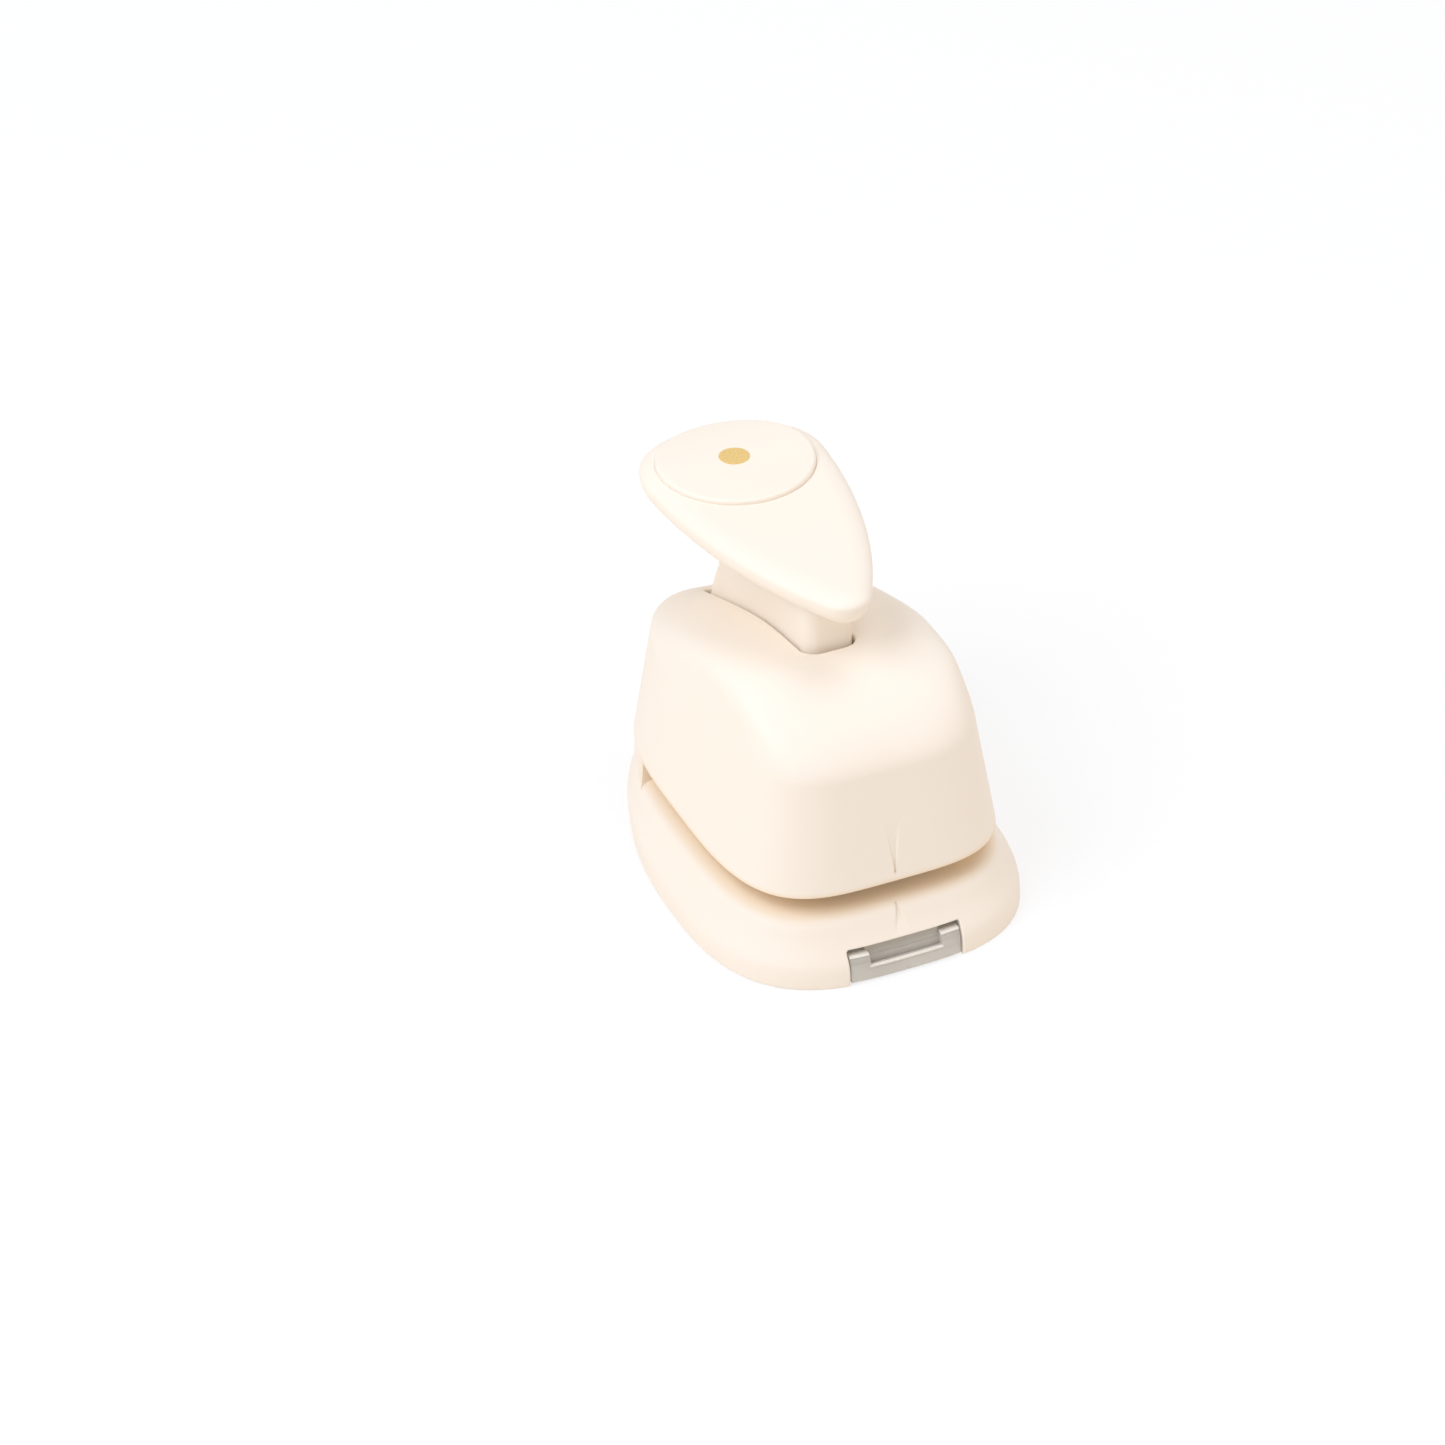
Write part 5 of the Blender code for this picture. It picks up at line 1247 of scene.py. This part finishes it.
# %% [markdown]
# ## Spring and screws
#
# These follow rules, so Geometry Nodes make them. The return spring is a helix whose pitch closes at both ends: one
# curve gives its height along the wire. The four jaw screws are one screw, set on four points. Each tree has named
# inputs, and its result is turned into a plain mesh.

# %% Helpers for geometry trees
def new_tree(name, inputs):
    """Node group with a geometry output and named inputs, and the sockets that give these inputs."""
    tree = bpy.data.node_groups.new(name, "GeometryNodeTree")
    tree.interface.new_socket(name="Geometry", in_out="OUTPUT", socket_type="NodeSocketGeometry")
    for label, kind in inputs.items():
        tree.interface.new_socket(name=label, in_out="INPUT", socket_type="NodeSocket" + kind)
    return tree, tree.nodes.new("NodeGroupInput").outputs


def end_tree(tree, source, finish):
    real = add_node(tree, "GeometryNodeRealizeInstances", {"Geometry": source})
    painted = add_node(tree, "GeometryNodeSetMaterial", {"Geometry": real.outputs["Geometry"], "Material": finish})
    add_node(tree, "NodeGroupOutput", {"Geometry": painted.outputs["Geometry"]})


def grow(name, tree, values, base=None):
    """Run a tree on an object with the given inputs and keep the result as a plain mesh."""
    item = link(bpy.data.objects.new(name, base or bpy.data.meshes.new(name)))
    step = item.modifiers.new("grow", "NODES")
    step.node_group = tree
    sockets = {socket.name: socket.identifier for socket in tree.interface.items_tree if socket.in_out == "INPUT"}
    for label, value in values.items():
        step[sockets[label]] = value
    return settle(item)


# %% Return spring
JAW_TOP = 0.0205
HEAD_THICKNESS = 0.0025
HEAD_LOW = PIVOT[1] - NOSE_RADIUS - SEAT_GAP - HEAD_THICKNESS
SPRING_RADIUS = 0.0043
SPRING_WIRE = 0.00035
SPRING_TURNS = 4.5
PITCH_POINTS = ((0.20, 0.075), (0.80, 0.925))

spring_tree, given = new_tree("coil_spring", {"Radius": "Float", "Wire": "Float", "Turns": "Float", "Low": "Float",
                                              "High": "Float", "Finish": "Material"})
helix = add_node(spring_tree, "GeometryNodeCurveSpiral", {
    "Resolution": 56, "Height": 0.01, "Rotations": given["Turns"], "Start Radius": given["Radius"],
    "End Radius": given["Radius"]})
along = add_node(spring_tree, "GeometryNodeSplineParameter")
pitch = add_node(spring_tree, "ShaderNodeFloatCurve", {"Value": along.outputs["Factor"]})
for at, height in PITCH_POINTS:
    pitch.mapping.curves[0].points.new(at, height)
pitch.mapping.update()
travel = math_step(spring_tree, "SUBTRACT", given["High"], given["Low"])
rise = math_step(spring_tree, "MULTIPLY", pitch.outputs[0], travel)
place = add_node(spring_tree, "GeometryNodeInputPosition")
apart = add_node(spring_tree, "ShaderNodeSeparateXYZ", {0: place.outputs[0]})
together = add_node(spring_tree, "ShaderNodeCombineXYZ", {
    "X": apart.outputs["X"], "Y": math_step(spring_tree, "ADD", apart.outputs["Y"], PUNCH_Y),
    "Z": math_step(spring_tree, "ADD", rise, given["Low"])})
lift = add_node(spring_tree, "GeometryNodeSetPosition", {"Geometry": helix.outputs["Curve"],
                                                         "Position": together.outputs[0]})
wire = add_node(spring_tree, "GeometryNodeCurvePrimitiveCircle", {"Resolution": 14, "Radius": given["Wire"]})
sweep = add_node(spring_tree, "GeometryNodeCurveToMesh", {
    "Curve": lift.outputs["Geometry"], "Profile Curve": wire.outputs["Curve"], "Fill Caps": True})
end_tree(spring_tree, sweep.outputs["Mesh"], given["Finish"])

spring_span = (JAW_TOP + SEAT_GAP, HEAD_LOW - SEAT_GAP)
spring = grow("return_coil", spring_tree, {
    "Radius": SPRING_RADIUS, "Wire": SPRING_WIRE, "Turns": SPRING_TURNS, "Low": spring_span[0] + SPRING_WIRE,
    "High": spring_span[1] - SPRING_WIRE, "Finish": steel_finish})
dress(spring, steel_finish, "body", "steel", "return_spring")
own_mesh(spring)

# %% One pan-head screw, drawn once
# in parts of the shank's radius
TIP = ((0.45, 0.0), (0.8, 0.5))
THREAD_START, THREAD_PITCH, THREAD_DEPTH = 0.6, 0.75, 0.16
# in parts of the pitch: end of the last turn, end of the waist, and each point's rise and whether it is in the groove
LAST_TURN, WAIST = 1.2, 0.5
THREAD_POINTS = ((0.0, True), (0.32, False), (0.45, False), (0.77, True))
# in parts of the head's height
HEAD_FOOT, HEAD_SIDE, HEAD_DOME = 0.12, 0.45, 0.55
# reach in parts of the head's radius, width and height in parts of its height
DRIVE_RINGS = ((0.28, 0.10, 0.40), (0.66, 0.26, 1.2))


def pan_screw(name, shank, length, head_radius, head):
    """Seat at zero, head above it, with a rounded edge, a waist under the head, a thread and a tapered cross drive."""
    pitch = shank * THREAD_PITCH
    groove = shank - shank * THREAD_DEPTH
    profile = [(shank * radius, -length + shank * rise) for radius, rise in TIP]
    level = -length + shank * THREAD_START
    while level < -pitch * LAST_TURN:
        profile += [(groove if deep else shank, level + pitch * rise) for rise, deep in THREAD_POINTS]
        level += pitch
    profile += [(groove, -pitch * WAIST), (groove, 0.0), (head_radius - head * HEAD_FOOT, 0.0),
                (head_radius, head * HEAD_FOOT)]
    dome = head * HEAD_DOME
    profile += [(head_radius - dome * (1.0 - math.cos(a)), head * HEAD_SIDE + dome * math.sin(a))
                for a in np.radians(np.linspace(0.0, 90.0, 7))]
    bars = []
    for turn in (0.0, math.pi / 2):
        bar = loft("bar", [[(x * head_radius * reach, y * head * width, head * level)
                            for x, y in ((-1, -1), (1, -1), (1, 1), (-1, 1))] for reach, width, level in DRIVE_RINGS])
        bar.data.transform(Matrix.Rotation(turn, 4, "Z"))
        bars.append(bar)
    return carve(turned(name, profile, ORIGIN, points=48), "DIFFERENCE", *bars)


# %% Screws of the jaws, set on points
CLAMP_X = 0.0090
CLAMP_Y = back(THROAT_DEPTH - STOP_WALL - 0.0030)

screw_tree, given = new_tree("screws_on_points", {"Seats": "Geometry", "Screw": "Object", "Turn over": "Float",
                                                  "Size": "Float", "Finish": "Material"})
shape = add_node(screw_tree, "GeometryNodeObjectInfo", {"Object": given["Screw"]})
tilt = add_node(screw_tree, "ShaderNodeCombineXYZ", {"X": given["Turn over"]})
seats = add_node(screw_tree, "GeometryNodeInstanceOnPoints", {
    "Points": given["Seats"], "Instance": shape.outputs["Geometry"], "Rotation": tilt.outputs[0],
    "Scale": given["Size"]})
end_tree(screw_tree, seats.outputs["Instances"], given["Finish"])


def set_screws(name, screw, places, turn_over, *stands_for):
    points = bpy.data.meshes.new(name + "_seats")
    points.from_pydata(places, [], [])
    values = {"Screw": screw, "Turn over": turn_over, "Size": 1.0, "Finish": steel_finish}
    item = grow(name, screw_tree, values, points)
    bpy.data.objects.remove(screw)
    return dress(item, steel_finish, "body", "steel", *stands_for)


jaw_screw = pan_screw("jaw_screw", shank=0.0011, length=0.0062, head_radius=0.0024, head=0.0014)
set_screws("jaw_screws", jaw_screw, [(x, y, LOWER_JAW_BOTTOM - SEAT_GAP) for x, y in POST_PLACES], math.pi,
           "jaw_screw_front_left", "jaw_screw_rear_left", "jaw_screw_front_right", "jaw_screw_rear_right")
clamp_screw = pan_screw("clamp_screw", shank=0.0015, length=JAW_TOP - LOWER_JAW_BOTTOM, head_radius=0.0028, head=0.0020)
set_screws("clamp_screws", clamp_screw, [(side * CLAMP_X, CLAMP_Y, JAW_TOP + SEAT_GAP) for side in (-1, 1)], 0.0,
           "clamp_screw_left", "clamp_screw_right")

# %% [markdown]
# ## Finishes of the CAD parts
#
# The jaws, the die, the guide, the punch, the axle and the small parts on it are already as the real ones are: turned
# or cast to plain shapes. They only need their metal or plastic. The parts that a finer piece stands for get its
# finish too.

# %% Finishes of the CAD parts
CAD_FINISHES = (
    (zinc_finish, ("upper_jaw", "lower_jaw")),
    (ground_finish, ("die_plate", "throat_spacer")),
    (bronze_finish, ("guide_bush",)),
    (acetal_finish, ("punch_head", "lever_washer_left", "lever_washer_right")),
    (steel_finish, ("punch", "lever_axle", "axle_clip_left", "axle_clip_right", "cap_screw_front", "cap_screw_rear",
                    "return_spring")),
    (housing_finish, ("housing",)),
    (lever_finish, ("lever_cap", "lever_arm")),
    (pad_finish, ("cap_disc",)),
    (styrene_finish, ("waste_tray",)))
for finish, names in CAD_FINISHES:
    for name in names:
        for place in nodes[name].material_slots:
            place.material = finish
print("finished CAD parts:", sum(len(names) for finish, names in CAD_FINISHES))

# %% [markdown]
# ## Size
#
# The dressed punch must stay as big as the CAD model. The boxes of the CAD model and of the
# dressed punch are written down side by side.

# %% Write down both boxes
visual_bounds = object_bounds()
plain = [[[float(value) for value in corner] for corner in bounds] for bounds in (cad_bounds, visual_bounds)]
for label, bounds in zip(("CAD", "visual"), plain):
    print(label, "box in mm:", [[round(value * 1000, 2) for value in corner] for corner in bounds])
